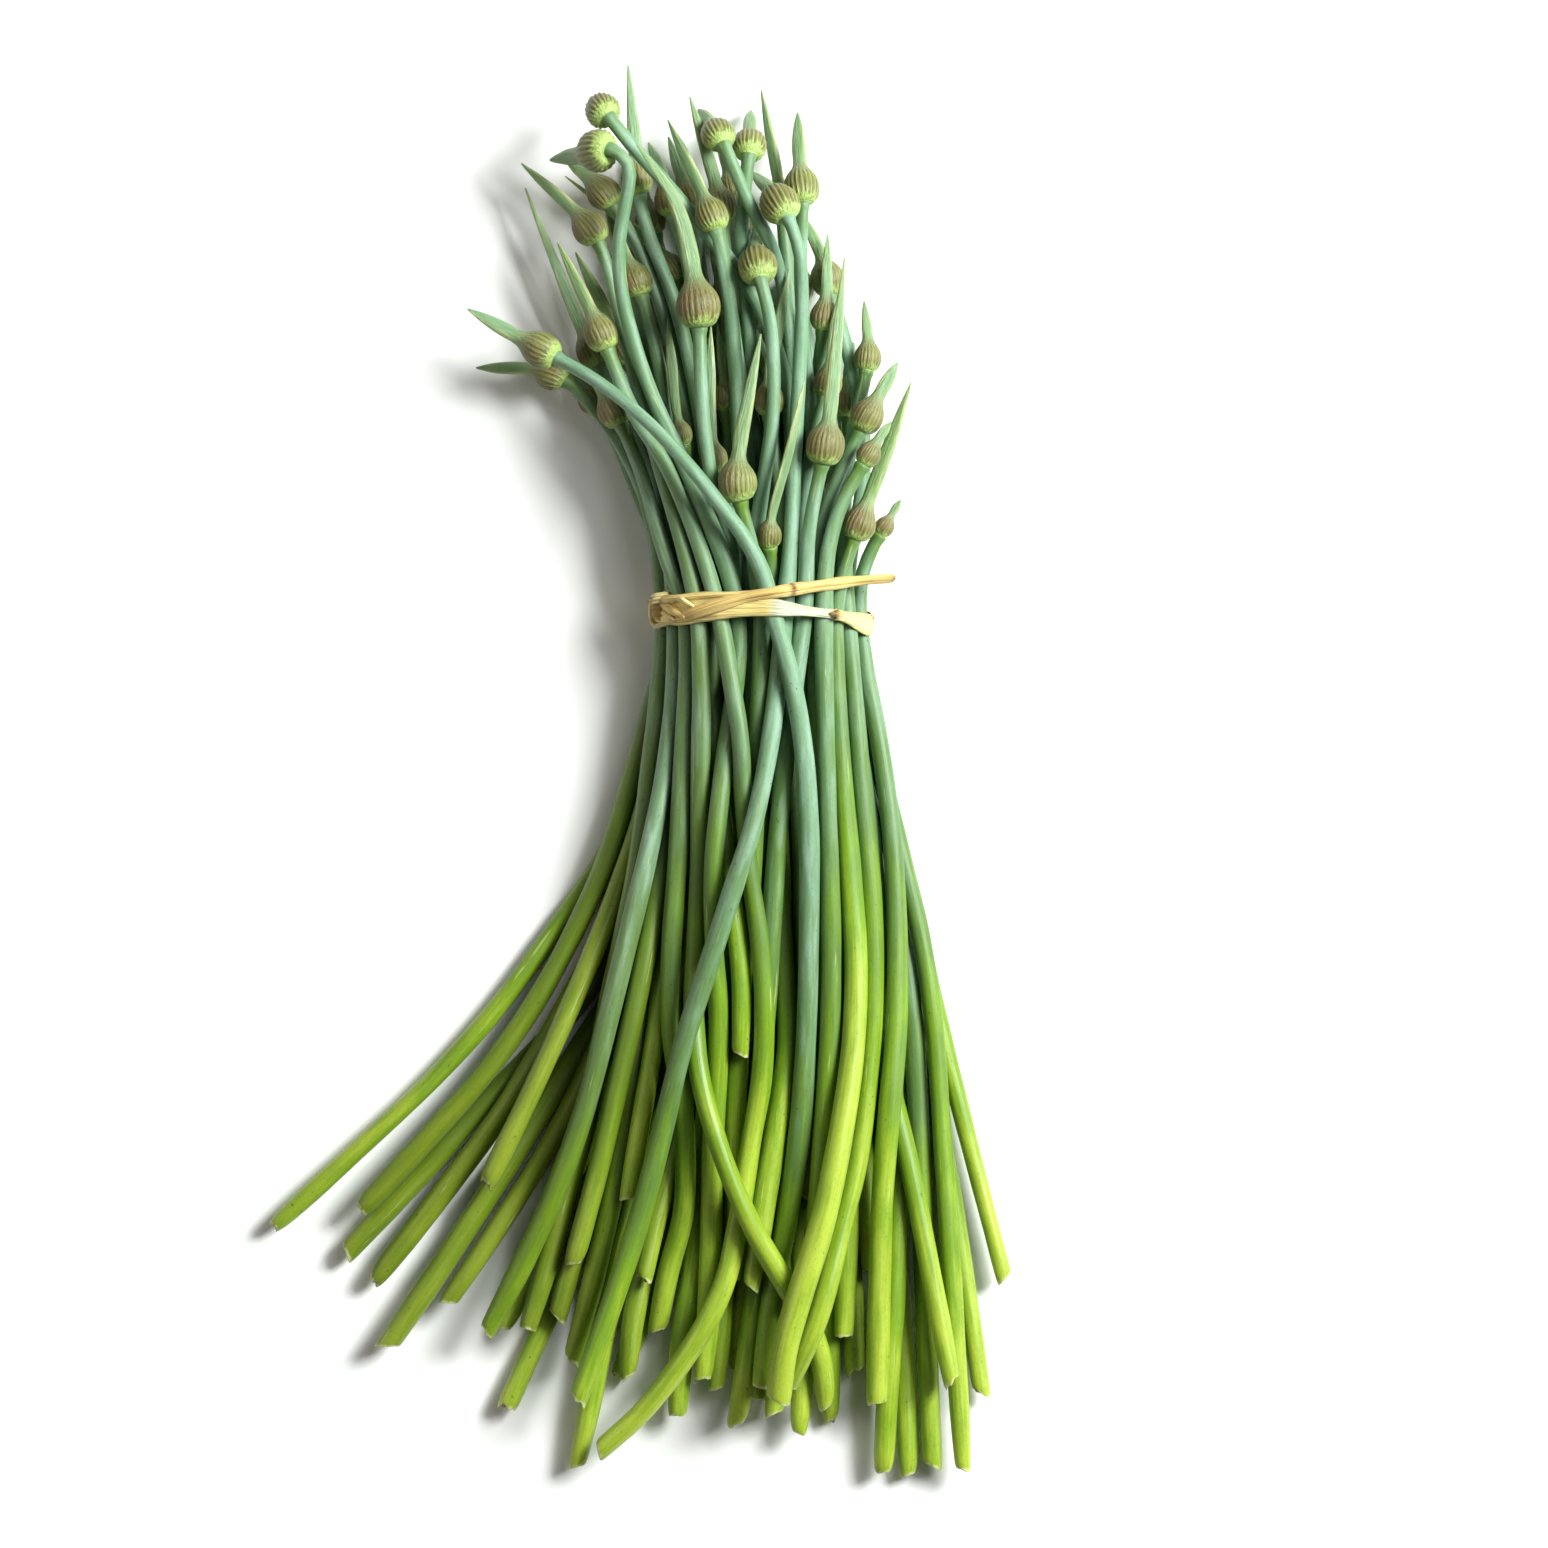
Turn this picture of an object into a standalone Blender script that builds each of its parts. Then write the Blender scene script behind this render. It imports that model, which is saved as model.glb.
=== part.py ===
"""A bunch of garlic scapes tied with a strip of raffia, lying on a table.

Every scape is one grown piece: a cut foot, a long stem, a round flower bud and the pointed beak of its
sheath. The stems are laid out from hand-measured routes seen from above, gathered into slots at the tie,
and then eased apart until no two of them touch. The raffia is wound round the gathered stems.
The bunch lies along Y with its buds towards +Y, and Z is up. Lengths in the tables are millimetres.
"""

import math

import bmesh
import bpy
import numpy as np
from mathutils import Matrix, Vector

MM = 0.001

# Stems
STEM_SIDES = 6
FOOT_RADIUS = 3.5
TIE_RADIUS = 2.6
UPPER_RADIUS = 2.2
NECK_RADIUS = 2.0
MIDDLE_SWELL = 0.1
UPPER_SHARE = 0.4
FACET_SWELL = 1.04
CUT_SLANT = 0.9
CUT_TURN = 2.4

# The gathered stems at the tie, in staggered rows from the table upwards
ROW_COUNTS = (8, 9, 10, 9, 8, 7, 1)
SLOT_PITCH = 6.3
ROW_PITCH = SLOT_PITCH * math.sqrt(3.0) / 2.0
TOP_STEM_SHIFT = SLOT_PITCH / 2.0

# Clearances and the easing apart of the stems
CLEARANCE = 0.4
EASING_PASSES = 520
SECOND_EASING_PASSES = 40
CLOSING_PASSES = 400
CLOSE_ENOUGH = 0.03
PAIR_REFRESH = 20
NEAR = 3.0
LEAST_WEIGHT = 0.6
OVERSHOOT = 1.2
PULL_IN_PLAN = 0.03
PULL_IN_HEIGHT = 0.015
PULL_AT_TIE = 0.5
EVENING_LEAST = 0.02
EVENING_HELD = 0.4
LIFTED_REACH = 34.0
FINE_STEP = 9.0
STRAIGHT_STEP = 38.0
BEND_STEP = math.radians(18.0)

# Raffia. The band leans: it drops by its slope for every millimetre towards the right. The tail's last two
# points are given from the band's right-hand end, and fall below the point before them.
RAFFIA_THICKNESS = 0.9
RAFFIA_WIDTH = 8.0
RAFFIA_FACETS = 28
BAND_MIDDLE = -1.6
BAND_SLOPE = -0.075
BAND_MARGIN = 2.0
FLAT_BELOW = 0.4
STEPS_PER_LINK = 9
SEARCH_REACH = 5.0
KNOT_RADII = (2.9, 4.6, 3.6)
KNOT_SHIFT = (1.0, 1.0, 1.0)
TAIL_THICKNESS = 1.2
TAIL_SINK = 0.4
TAIL_ROUTE = ((-33, 0.5), (-26, -2), (-18, -1), (-8, 1), (0, 3.4), (8, 5.2), (15, 6.2), (23, 7.2))
TAIL_END = ((1.0, 8.2, -1.0), (6.0, 8.8, -2.0))
TAIL_WIDTHS = (3.6, 4.4, 5.2, 5.4, 5.2, 5.0, 5.0, 5.2, 5.0, 3.6)
TAIL_REACH = 3.0

# Bud profile: distance along the axis from the bud's centre and radius, both in bud radii
BUD_PROFILE = ((-0.74, 0.72), (-0.1, 1.0), (0.5, 0.84), (1.0, 0.54), (1.6, 0.37))
BUD_START = -1.02
BEAK_MIDDLE_RADIUS = 0.26
BEAK_TIP_RADIUS = 0.08
BEAK_DROP = 1.0
RIBS = 6
GROOVE = 0.88

GREEN_STEM = (0.19, 0.36, 0.12, 1.0)
RAFFIA_STRAW = (0.72, 0.55, 0.30, 1.0)


class Scape:
    """One scape: its routes from the tie to the bud's centre and from the tie to the cut foot.

    The beak is given by its tip, or by a list of points where it bends.
    """

    def __init__(self, head, bud, beak, head_z, foot, foot_z, girth=1.0):
        self.head = head
        self.bud = bud
        self.beak = beak if isinstance(beak, list) else [beak]
        self.head_z = head_z
        self.foot = foot
        self.foot_z = foot_z
        self.girth = girth


# Rows from the table upwards, each from left to right. Points are (x, y) from the middle of the tie, and a
# third number is a height of its own. head_z and foot_z are the heights of the bud's centre and of the cut.
ROW_0 = (
    Scape([(-26, 38), (-30, 75)], 4.6, (-38, 95), 6,
          [(-38, -58), (-62, -97), (-90, -133), (-147, -187)], 6, 0.9),
    Scape([(-24, 50), (-40, 104)], 4.6, (-47, 122), 6, [(-35, -76), (-72, -144), (-118, -205)], 6),
    Scape([(-10, 45), (-12, 92)], 4.6, (-15, 112), 6, [(-33, -94), (-74, -165), (-115, -226)], 8, 1.12),
    Scape([(-8, 60), (-21, 124)], 4.6, (-28, 142), 6, [(-36, -97), (-77, -144), (-127, -197)], 5),
    Scape([(0, 55), (-4, 113)], 4.6, (-8, 132), 6, [(-21, -106), (-51, -181), (-77, -242)], 5),
    Scape([(9, 40), (10, 80)], 4.6, (11, 100), 6, [(27, -103), (40, -193), (44, -264)], 5),
    Scape([(13, 55), (11, 97)], 4.6, (12, 117), 6, [(36, -88), (52, -148), (67, -240)], 6, 0.85),
    Scape([(24, 30), (26, 62)], 4.4, (28, 80), 6, [(37, -58), (54, -129), (74, -205)], 8, 0.8),
)
ROW_1 = (
    Scape([(-36, 32), (-51, 63)], 4.8, (-64, 78), 7,
          [(-36, -55), (-54, -96), (-77, -133), (-121, -183)], 9),
    Scape([(-32, 50), (-42, 78)], 4.8, (-56, 107), 8, [(-36, -70), (-60, -127), (-83, -175)], 18),
    Scape([(-18, 62), (-26, 103)], 4.0, (-59, 130), 9, [(-32, -88), (-61, -157), (-96, -212)], 10, 0.9),
    Scape([(-12, 47), (-33, 117)], 4.6, (-38, 136), 8, [(-24, -103), (-48, -178), (-63, -217)], 6),
    Scape([(-3, 62), (-5, 87)], 3.8, (-9, 106), 13, [(-21, -97), (-53, -172), (-78, -219)], 6, 0.9),
    Scape([(0, 62), (-3, 110), (-3.3, 127, 24), (-3.2, 134, 25.5), (-3, 138.5)], 5.2, (-3, 150, 4), 20,
          [(5, -88), (2, -193), (1, -240)], 5),
    Scape([(8, 62), (-8, 126)], 4.4, (-14, 146), 8, [(28, -58), (43, -124), (52, -262)], 6),
    Scape([(10, 70), (6, 122)], 4.6, (0, 156), 8,
          [(25, -43), (36, -118), (48, -184), (58, -236)], 17, 0.9),
    Scape([(30, 47), (17.5, 98.5)], 5.0, (12, 119), 9,
          [(37, -58), (49, -127), (55, -175), (61, -262)], 10, 0.9),
)
ROW_2 = (
    Scape([(-36, 38), (-51, 62), (-63, 71)], 5.2, (-86, 72), 10,
          [(-33, -55), (-45, -118), (-57, -175), (-69, -218)], 12),
    Scape([(-24, 53), (-33, 85), (-37, 98)], 4.8, (-44, 113), 20,
          [(-28, -82), (-43, -151), (-57, -200)], 16),
    Scape([(-17, 60), (-29, 122)], 4.6, (-34, 140), 10, [(-24, -95), (-41, -169), (-58, -230)], 10),
    Scape([(-9, 30), (-11, 63)], 4.2, (-13, 85), 14, [(-20, -85), (-39, -180)], 14, 0.9),
    Scape([(-3, 62), (-8, 100), (-10, 121)], 5.0, (-19, 154), 17, [(-10, -90), (-19, -230)], 5),
    Scape([(2, 30), (1, 62)], 4.2, (-3, 84), 14, [(3, -90), (-1, -235)], 6),
    Scape([(9, 47), (4, 92), (-8, 127, 30), (-11, 136, 31.5), (-13.5, 141)], 5.2, (-19, 150, 9), 26,
          [(16, -88), (21, -133), (27, -234)], 6),
    Scape([(14, 47), (18, 87)], 4.4, (20, 112), 15, [(25, -88), (27, -204)], 7),
    Scape([(22, 16), (20, 35)], 4.4, (24, 56), 13, [(33, -88), (41, -178), (38, -262)], 6),
    Scape([(31, 13), (37, 24)], 2.9, (42, 32), 17,
          [(34, -55), (38, -130), (36, -175), (35, -241)], 16, 1.05),
)
ROW_3 = (
    Scape([(-33, 44), (-44, 63), (-51, 77)], 4.8, (-71, 126), 14,
          [(-28, -58), (-41, -118), (-61, -178), (-84, -221)], 14),
    Scape([(-24, 56), (-36, 105), (-47, 125)], 5.0, (-60, 136), 14,
          [(-21, -73), (-28, -142), (-41, -235)], 7),
    Scape([(-17, 28), (-23, 52)], 3.6, (-28, 86), 24, [(-18, -103), (-27, -178), (-34, -204)], 10, 0.9),
    Scape([(-9, 22), (-17, 42.5)], 4.2, (-15, 84), 28, [(-15, -88), (-30, -178), (-44, -233)], 6),
    Scape([(-6, 32), (-9, 83), (-13, 109, 30), (-15.5, 116.5)], 5.0, (-28, 146, 20), 28,
          [(-14, -88), (-36, -178), (-56, -262)], 6),
    Scape([(7, 56), (-1, 92), (-21, 120), (-38, 137, 32), (-45, 145.3, 34), (-47.6, 148.2)], 5.4,
          (-51.5, 153.5, 10), 28,
          [(12, -88), (13, -150), (7, -242)], 6),
    Scape([(14, 41), (19, 67)], 4.4, (24, 96), 22, [(18, -88), (22, -178), (21, -248)], 6),
    Scape([(17, 47), (13, 104), (13, 118, 23), (12.6, 126)], 5.5, (11, 149, 10), 20,
          [(26, -88), (27, -178), (25, -220)], 8),
    Scape([(25, 38), (32, 75)], 4.2, (31, 92), 15,
          [(30, -52), (34, -112), (30, -159), (19, -198), (8, -235)], 14),
)
ROW_4 = (
    Scape([(-28, 14), (-35, 38), (-44, 59)], 5.0, (-52, 72), 18,
          [(-21, -58), (-21, -118), (-25, -180), (-35, -220)], 8),
    Scape([(-18, 53), (-28, 94), (-38, 117), (-40, 128)], 5.0, (-40, 163), 15,
          [(-13, -55), (-9, -103), (-9, -136)], 20, 0.85),
    Scape([(-15, 47), (-18, 70), (-19, 90)], 6.6, [(-22.5, 110), (-28, 126, 36), (-37, 137.5, 36)], 32,
          [(-13, -88), (-18, -148), (-25, -244)], 8, 1.1),
    Scape([(3, 47), (4, 75), (2.6, 91, 34), (1, 97.5, 35), (0, 102.8)], 6.0, (-2, 115, 13), 30,
          [(-6, -88), (-10, -160), (-12, -238)], 6),
    Scape([(3, 10), (2, 21)], 3.8, [(6, 38, 35.5), (10, 52, 38), (13, 67, 38)], 32,
          [(7, -70), (6, -130), (-5, -208)], 12),
    Scape([(7, 30), (4, 62)], 4.6, (8, 101), 24, [(11, -88), (8, -165), (3, -246)], 6),
    Scape([(16, 17), (24, 40), (32, 57)], 5.0, (41, 73), 25, [(16, -58), (18, -118), (13, -180)], 14),
    Scape([(25, 13), (29, 25)], 5.0, (45, 67), 28,
          [(24, -58), (27, -112), (21, -175, 29), (5, -240)], 25, 1.22),
)
ROW_5 = (
    Scape([(-27, 32), (-36, 65), (-44, 98), (-51, 114)], 5.2, (-72, 133), 20,
          [(-16, -58), (-17, -112), (-12, -160, 27), (-6, -182, 25), (2, -204, 19), (20, -244)], 9),
    Scape([(-24, 35), (-39, 60), (-48, 82)], 5.3, (-61, 109), 25,
          [(-7, -49), (0, -112), (-4, -163, 16), (-12, -206, 13), (-33, -239), (-51, -256)], 12, 0.95),
    Scape([(-15, 26, 30), (-33, 64, 26), (-42, 96, 30), (-42, 112, 33), (-39.3, 126, 36), (-39, 131.5, 38),
           (-40.3, 135.3, 39.3), (-43, 137, 39.8), (-46.2, 136.8, 38), (-48.6, 135.8)], 6.4,
          (-63.5, 134, 18), 33,
          [(-7, -46), (-12, -100), (-15, -172), (-16, -234)], 10),
    Scape([(-3, 18), (-8, 37)], 5.8, (0, 81), 37, [(-3, -58), (-7, -130, 20), (-8, -205)], 9),
    Scape([(8, 32), (11, 75), (11, 102, 33), (8.5, 112, 34.5), (4.2, 119.7)], 6.0, (-3, 131, 12), 30,
          [(3, -28), (-9, -81), (-22, -133), (-37, -187), (-56, -241)], 22),
    Scape([(13, 20), (19, 48)], 5.7, (25, 104), 35, [(8, -34), (2, -100), (0, -170), (-8, -249)], 8),
    Scape([(22, 23), (29, 38), (33, 45)], 3.6, (39, 55), 30,
          [(20, -52), (20, -118), (15, -178), (11, -251)], 10),
)
ROW_6 = (
    Scape([(0, 14), (-11, 32, 39), (-27, 50, 38), (-45, 65, 34), (-66, 77)], 5.6, (-88, 89), 26,
          [(13, -46), (15, -103), (10, -151), (5, -196), (-2, -235)], 12),
)
ROWS = (ROW_0, ROW_1, ROW_2, ROW_3, ROW_4, ROW_5, ROW_6)


# Shared geometry


def smooth(share):
    """An S-shaped blend from 0 to 1."""
    share = min(max(share, 0.0), 1.0)
    return share * share * (3.0 - 2.0 * share)


def table_height(row):
    """Height of a row of gathered stems at the tie, above the table."""
    return RAFFIA_THICKNESS + CLEARANCE + TIE_RADIUS * FACET_SWELL + row * ROW_PITCH


def slot(row, place):
    """Where a stem passes through the tie."""
    shift = TOP_STEM_SHIFT if ROW_COUNTS[row] == 1 else 0.0
    x = (place - (ROW_COUNTS[row] - 1) / 2.0) * SLOT_PITCH + shift
    return np.array([x, 0.0, table_height(row)])


def lifted(points, start, end_z):
    """Gives the points of one half of a route their heights, from the tie's to the half's end."""
    plan = np.array([start[:2]] + [p[:2] for p in points], float)
    along = np.concatenate([[0.0], np.cumsum(np.linalg.norm(np.diff(plan, axis=0), axis=1))])
    raised = []
    for point, reach in zip(points, along[1:]):
        z = start[2] + (end_z - start[2]) * smooth(reach / along[-1])
        raised.append(np.array([point[0], point[1], point[2] if len(point) > 2 else z], float))
    return raised


def spline(points, step=1.0):
    """A smooth curve through the points, sampled about once every step. Knots follow the chord lengths."""
    points = np.array(points, float)
    first = 2.0 * points[0] - points[1]
    last = 2.0 * points[-1] - points[-2]
    padded = np.vstack([first, points, last])
    samples = []
    for i in range(1, len(padded) - 2):
        a, b, c, d = padded[i - 1:i + 3]
        t0 = 0.0
        t1 = t0 + math.sqrt(np.linalg.norm(b - a))
        t2 = t1 + math.sqrt(np.linalg.norm(c - b))
        t3 = t2 + math.sqrt(np.linalg.norm(d - c))
        count = max(2, int(np.linalg.norm(c - b) / step))
        for t in np.linspace(t1, t2, count, endpoint=False):
            ab = (a * (t1 - t) + b * (t - t0)) / (t1 - t0)
            bc = (b * (t2 - t) + c * (t - t1)) / (t2 - t1)
            cd = (c * (t3 - t) + d * (t - t2)) / (t3 - t2)
            abc = (ab * (t2 - t) + bc * (t - t0)) / (t2 - t0)
            bcd = (bc * (t3 - t) + cd * (t - t1)) / (t3 - t1)
            samples.append((abc * (t2 - t) + bcd * (t - t1)) / (t2 - t1))
    samples.append(points[-1])
    return np.array(samples)


def arc_lengths(line):
    return np.concatenate([[0.0], np.cumsum(np.linalg.norm(np.diff(line, axis=0), axis=1))])


def at_length(line, along, reach):
    """Points of a line at the given distances along it."""
    return np.stack([np.interp(reach, along, line[:, k]) for k in range(3)], axis=-1)


def crowded_stations(line, lengths, start, end):
    """Lengths from start to end, closer together where the line bends."""
    middle = (lengths[1:] + lengths[:-1]) / 2.0
    heading = np.diff(line, axis=0)
    heading /= np.linalg.norm(heading, axis=1)[:, None]
    turn = np.arccos(np.clip((heading[1:] * heading[:-1]).sum(axis=1), -1.0, 1.0))
    cost_at = np.interp(lengths, middle[1:], np.cumsum(turn)) / BEND_STEP + lengths / STRAIGHT_STEP
    low, high = np.interp([start, end], lengths, cost_at)
    count = max(3, int(round(high - low)) + 1)
    return np.interp(np.linspace(low, high, count), cost_at, lengths)


class Strand:
    """The middle line of one scape, from its cut foot to the tip of its beak, and its radius along it."""

    def __init__(self, scape, row, place):
        tie = slot(row, place)
        foot = lifted(scape.foot, tie, scape.foot_z)
        head = lifted(scape.head, tie, scape.head_z)
        beak = lifted(scape.beak, head[-1], scape.head_z - BEAK_DROP)
        line = spline(foot[::-1] + [tie] + head + beak)
        along = arc_lengths(line)
        self.tie = along[np.argmin(np.linalg.norm(line - tie, axis=1))]
        bud = along[np.argmin(np.linalg.norm(line - head[-1], axis=1))]
        self.neck = bud + BUD_START * scape.bud
        self.bud = [bud + share * scape.bud for share, _ in BUD_PROFILE]
        self.tip = along[-1]
        foot_radius = FOOT_RADIUS * scape.girth
        middle_radius = (foot_radius + TIE_RADIUS) / 2.0 + MIDDLE_SWELL
        upper = self.tie + (self.neck - self.tie) * UPPER_SHARE
        self.marks = [0.0, self.tie * 0.5, self.tie, upper, self.neck] + self.bud
        self.marks += [(self.bud[-1] + self.tip) / 2.0, self.tip]
        self.widths = [foot_radius, middle_radius, TIE_RADIUS, UPPER_RADIUS, NECK_RADIUS]
        self.widths += [radius * scape.bud for _, radius in BUD_PROFILE]
        self.widths += [BEAK_MIDDLE_RADIUS * scape.bud, BEAK_TIP_RADIUS * scape.bud]
        below = np.linspace(0.0, self.tie, max(3, int(self.tie / FINE_STEP)))
        above = np.linspace(self.tie, self.neck, max(3, int((self.neck - self.tie) / FINE_STEP)))
        past_bud = np.linspace(self.bud[-1], self.tip, max(3, int((self.tip - self.bud[-1]) / FINE_STEP)))
        self.lengths = np.concatenate([below, above[1:], self.bud, past_bud[1:]])
        self.points = at_length(line, along, self.lengths)

    def radii(self):
        return np.interp(self.lengths, self.marks, self.widths)

    def thin_out(self):
        """Keeps only as many stations as the shape of the settled line needs."""
        line = spline(np.column_stack([self.points, self.lengths]))
        line, fine = line[:, :3], line[:, 3]
        below = crowded_stations(line, fine, 0.0, self.tie)
        above = crowded_stations(line, fine, self.tie, self.neck)
        self.lengths = np.concatenate([below, above[1:], self.bud, [self.marks[-2], self.tip]])
        self.points = at_length(line, fine, self.lengths)


# Easing the stems apart


def nearest_between(p, q, a, b):
    """Shares along segments pq and ab of their closest points."""
    d1, d2, r = q - p, b - a, p - a
    aa, ee = (d1 * d1).sum(1), (d2 * d2).sum(1)
    bb, cc, ff = (d1 * d2).sum(1), (d1 * r).sum(1), (d2 * r).sum(1)
    spread = aa * ee - bb * bb
    s = np.where(spread > 1e-6 * aa * ee, (bb * ff - cc * ee) / np.maximum(spread, 1e-9), 0.5)
    s = np.clip(s, 0.0, 1.0)
    t = np.clip((bb * s + ff) / ee, 0.0, 1.0)
    s = np.clip((bb * t - cc) / aa, 0.0, 1.0)
    return s, t


class Bunch:
    """All the strands' stations in one set of arrays, so that they can be eased apart together."""

    def __init__(self, strands):
        self.strands = strands
        self.points = np.vstack([strand.points for strand in strands])
        self.wanted = self.points.copy()
        self.radii = np.concatenate([strand.radii() for strand in strands]) * FACET_SWELL
        lengths = np.concatenate([strand.lengths for strand in strands])
        self.owner = np.concatenate([np.full(len(strand.points), i) for i, strand in enumerate(strands)])
        ties = np.array([strand.tie for strand in strands])[self.owner]
        necks = np.array([strand.neck for strand in strands])[self.owner]
        roots = np.array([strand.bud[-1] for strand in strands])[self.owner]
        self.ties = np.flatnonzero(np.abs(lengths - ties) < 1e-6)
        self.floor = self.radii + (RAFFIA_THICKNESS + CLEARANCE) * (np.abs(lengths - ties) < LIFTED_REACH)
        self.in_bud = (lengths > necks - 1e-6) & (lengths < roots + 1e-6)
        self.bud_size = np.maximum(np.bincount(self.owner, self.in_bud), 1.0)
        self.links = np.flatnonzero(self.owner[:-1] == self.owner[1:])
        self.inner = np.flatnonzero(self.owner[:-2] == self.owner[2:]) + 1

    def pairs(self):
        """Pairs of links of different strands that come near each other."""
        a, b = self.points[self.links], self.points[self.links + 1]
        middle = (a + b) / 2.0
        thickest = np.maximum(self.radii[self.links], self.radii[self.links + 1])
        reach = np.linalg.norm(b - a, axis=1) / 2.0 + thickest
        owner = self.owner[self.links]
        squares = (middle * middle).sum(axis=1)
        apart = squares[:, None] + squares[None, :] - 2.0 * middle @ middle.T
        limit = reach[:, None] + reach[None, :] + NEAR
        first, second = np.nonzero((apart < limit * limit) & (owner[:, None] < owner[None, :]))
        return self.links[first], self.links[second]

    def push_apart(self, first, second):
        """Moves each pair that is too close apart by what is missing, and returns the worst overlap."""
        p, q = self.points[first], self.points[first + 1]
        a, b = self.points[second], self.points[second + 1]
        s, t = nearest_between(p, q, a, b)
        between = p + (q - p) * s[:, None] - a - (b - a) * t[:, None]
        distance = np.linalg.norm(between, axis=1)
        need = (
            self.radii[first] * (1 - s) + self.radii[first + 1] * s
            + self.radii[second] * (1 - t) + self.radii[second + 1] * t + CLEARANCE
        )
        close = distance < need
        if not close.any():
            return 0.0
        first, second, s, t = first[close], second[close], s[close], t[close]
        away = between[close] / np.maximum(distance[close], 1e-6)[:, None]
        missing = (need - distance)[close]
        move = away * missing[:, None] * 0.5
        total = np.zeros_like(self.points)
        weight = np.zeros(len(self.points))
        ends = ((first, 1 - s, 1), (first + 1, s, 1), (second, 1 - t, -1), (second + 1, t, -1))
        for at, share, sign in ends:
            for k in range(3):
                total[:, k] += np.bincount(at, sign * share * move[:, k], len(total))
            weight += np.bincount(at, share * share, len(total))
        self.points += total / np.maximum(weight, LEAST_WEIGHT)[:, None] * OVERSHOOT
        return float(missing.max())

    def settle(self, easing, closing):
        """Eases the strands apart: at first held near their routes, at last free to clear one another."""
        worst = 0.0
        for turn in range(easing + closing):
            if turn % PAIR_REFRESH == 0:
                first, second = self.pairs()
            worst = self.push_apart(first, second)
            hold = max(0.0, 1.0 - turn / max(easing, 1))
            drift = self.wanted - self.points
            self.points[:, :2] += drift[:, :2] * PULL_IN_PLAN * hold
            self.points[:, 2] += drift[:, 2] * PULL_IN_HEIGHT * hold
            moved = self.points - self.wanted
            bend = (moved[self.inner - 1] + moved[self.inner + 1]) / 2.0 - moved[self.inner]
            self.points[self.inner] += bend * (EVENING_LEAST + EVENING_HELD * hold)
            from_tie = self.wanted[self.ties] - self.points[self.ties]
            self.points[self.ties] += from_tie * PULL_AT_TIE * hold
            self.keep_buds_whole()
            self.points[:, 2] = np.maximum(self.points[:, 2], self.floor)
            if hold == 0.0 and worst < CLOSE_ENOUGH:
                break
        at = 0
        for strand in self.strands:
            strand.points = self.points[at:at + len(strand.points)].copy()
            at += len(strand.points)
        return worst

    def keep_buds_whole(self):
        """A bud moves as one stiff piece, with its neck and the root of its beak."""
        moved = self.points - self.wanted
        for k in range(3):
            mean = np.bincount(self.owner, moved[:, k] * self.in_bud) / self.bud_size
            stiff = self.wanted[:, k] + mean[self.owner]
            self.points[:, k] = np.where(self.in_bud, stiff, self.points[:, k])


def settled_strands():
    """The strands of the whole bunch, eased apart finely first and then once more with fewer stations."""
    strands = []
    for row, scapes in enumerate(ROWS):
        for place, scape in enumerate(scapes):
            strands.append(Strand(scape, row, place))
    worst = Bunch(strands).settle(EASING_PASSES, CLOSING_PASSES)
    print(f"fine strands: {worst:.3f} mm short of the clearance")
    for strand in strands:
        strand.thin_out()
    bunch = Bunch(strands)
    worst = bunch.settle(SECOND_EASING_PASSES, CLOSING_PASSES)
    print(f"strands for the solids: {worst:.3f} mm short of the clearance")
    return bunch


# Solids


def square_to(heading):
    """Sideways and downward directions square to a heading, with no twist from one ring to the next."""
    heading = Vector(heading).normalized()
    down = Vector((0.0, 0.0, -1.0))
    if abs(heading.z) > 0.9:
        down = Vector((0.0, 1.0, 0.0))
    side = heading.cross(down).normalized()
    return side, side.cross(heading).normalized()


def ring_directions(line):
    """Headings along a line of stations, each the mean of its two links'."""
    steps = np.diff(line, axis=0)
    steps /= np.linalg.norm(steps, axis=1)[:, None]
    heading = np.vstack([steps[:1], steps[:-1] + steps[1:], steps[-1:]])
    return heading / np.linalg.norm(heading, axis=1)[:, None]


def carried_frames(line):
    """A side vector for each station, carried along the line so that the rings never twist."""
    headings = [Vector(h) for h in ring_directions(line)]
    side, down = square_to(headings[0])
    frames = [(side, down)]
    for before, after in zip(headings, headings[1:]):
        turn = before.rotation_difference(after)
        side = turn @ frames[-1][0]
        down = turn @ frames[-1][1]
        frames.append((side, down))
    return frames


def ring_of(mesh, centre, frame, radius, ribbed):
    """One ring of a scape. A ribbed ring has a groove between each two of its corners."""
    side, down = frame
    sides = 2 * RIBS if ribbed else STEM_SIDES
    ring = []
    for k in range(sides):
        angle = 2.0 * math.pi * k / sides
        reach = radius * (GROOVE if ribbed and k % 2 else 1.0)
        offset = (down * math.cos(angle) + side * math.sin(angle)) * reach
        ring.append(mesh.verts.new((Vector(centre) + offset) * MM))
    return ring


def join_rings(mesh, low, high):
    """Faces between two rings, also where one of them has twice as many corners as the other."""
    if len(low) == len(high):
        for k in range(len(low)):
            after = (k + 1) % len(low)
            mesh.faces.new((low[k], low[after], high[after], high[k]))
        return
    few, many = (low, high) if len(low) < len(high) else (high, low)
    for k in range(len(few)):
        here, after = few[k], few[(k + 1) % len(few)]
        first, between, last = many[2 * k], many[2 * k + 1], many[(2 * k + 2) % len(many)]
        mesh.faces.new((here, after, between))
        mesh.faces.new((here, between, first))
        mesh.faces.new((after, last, between))


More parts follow.
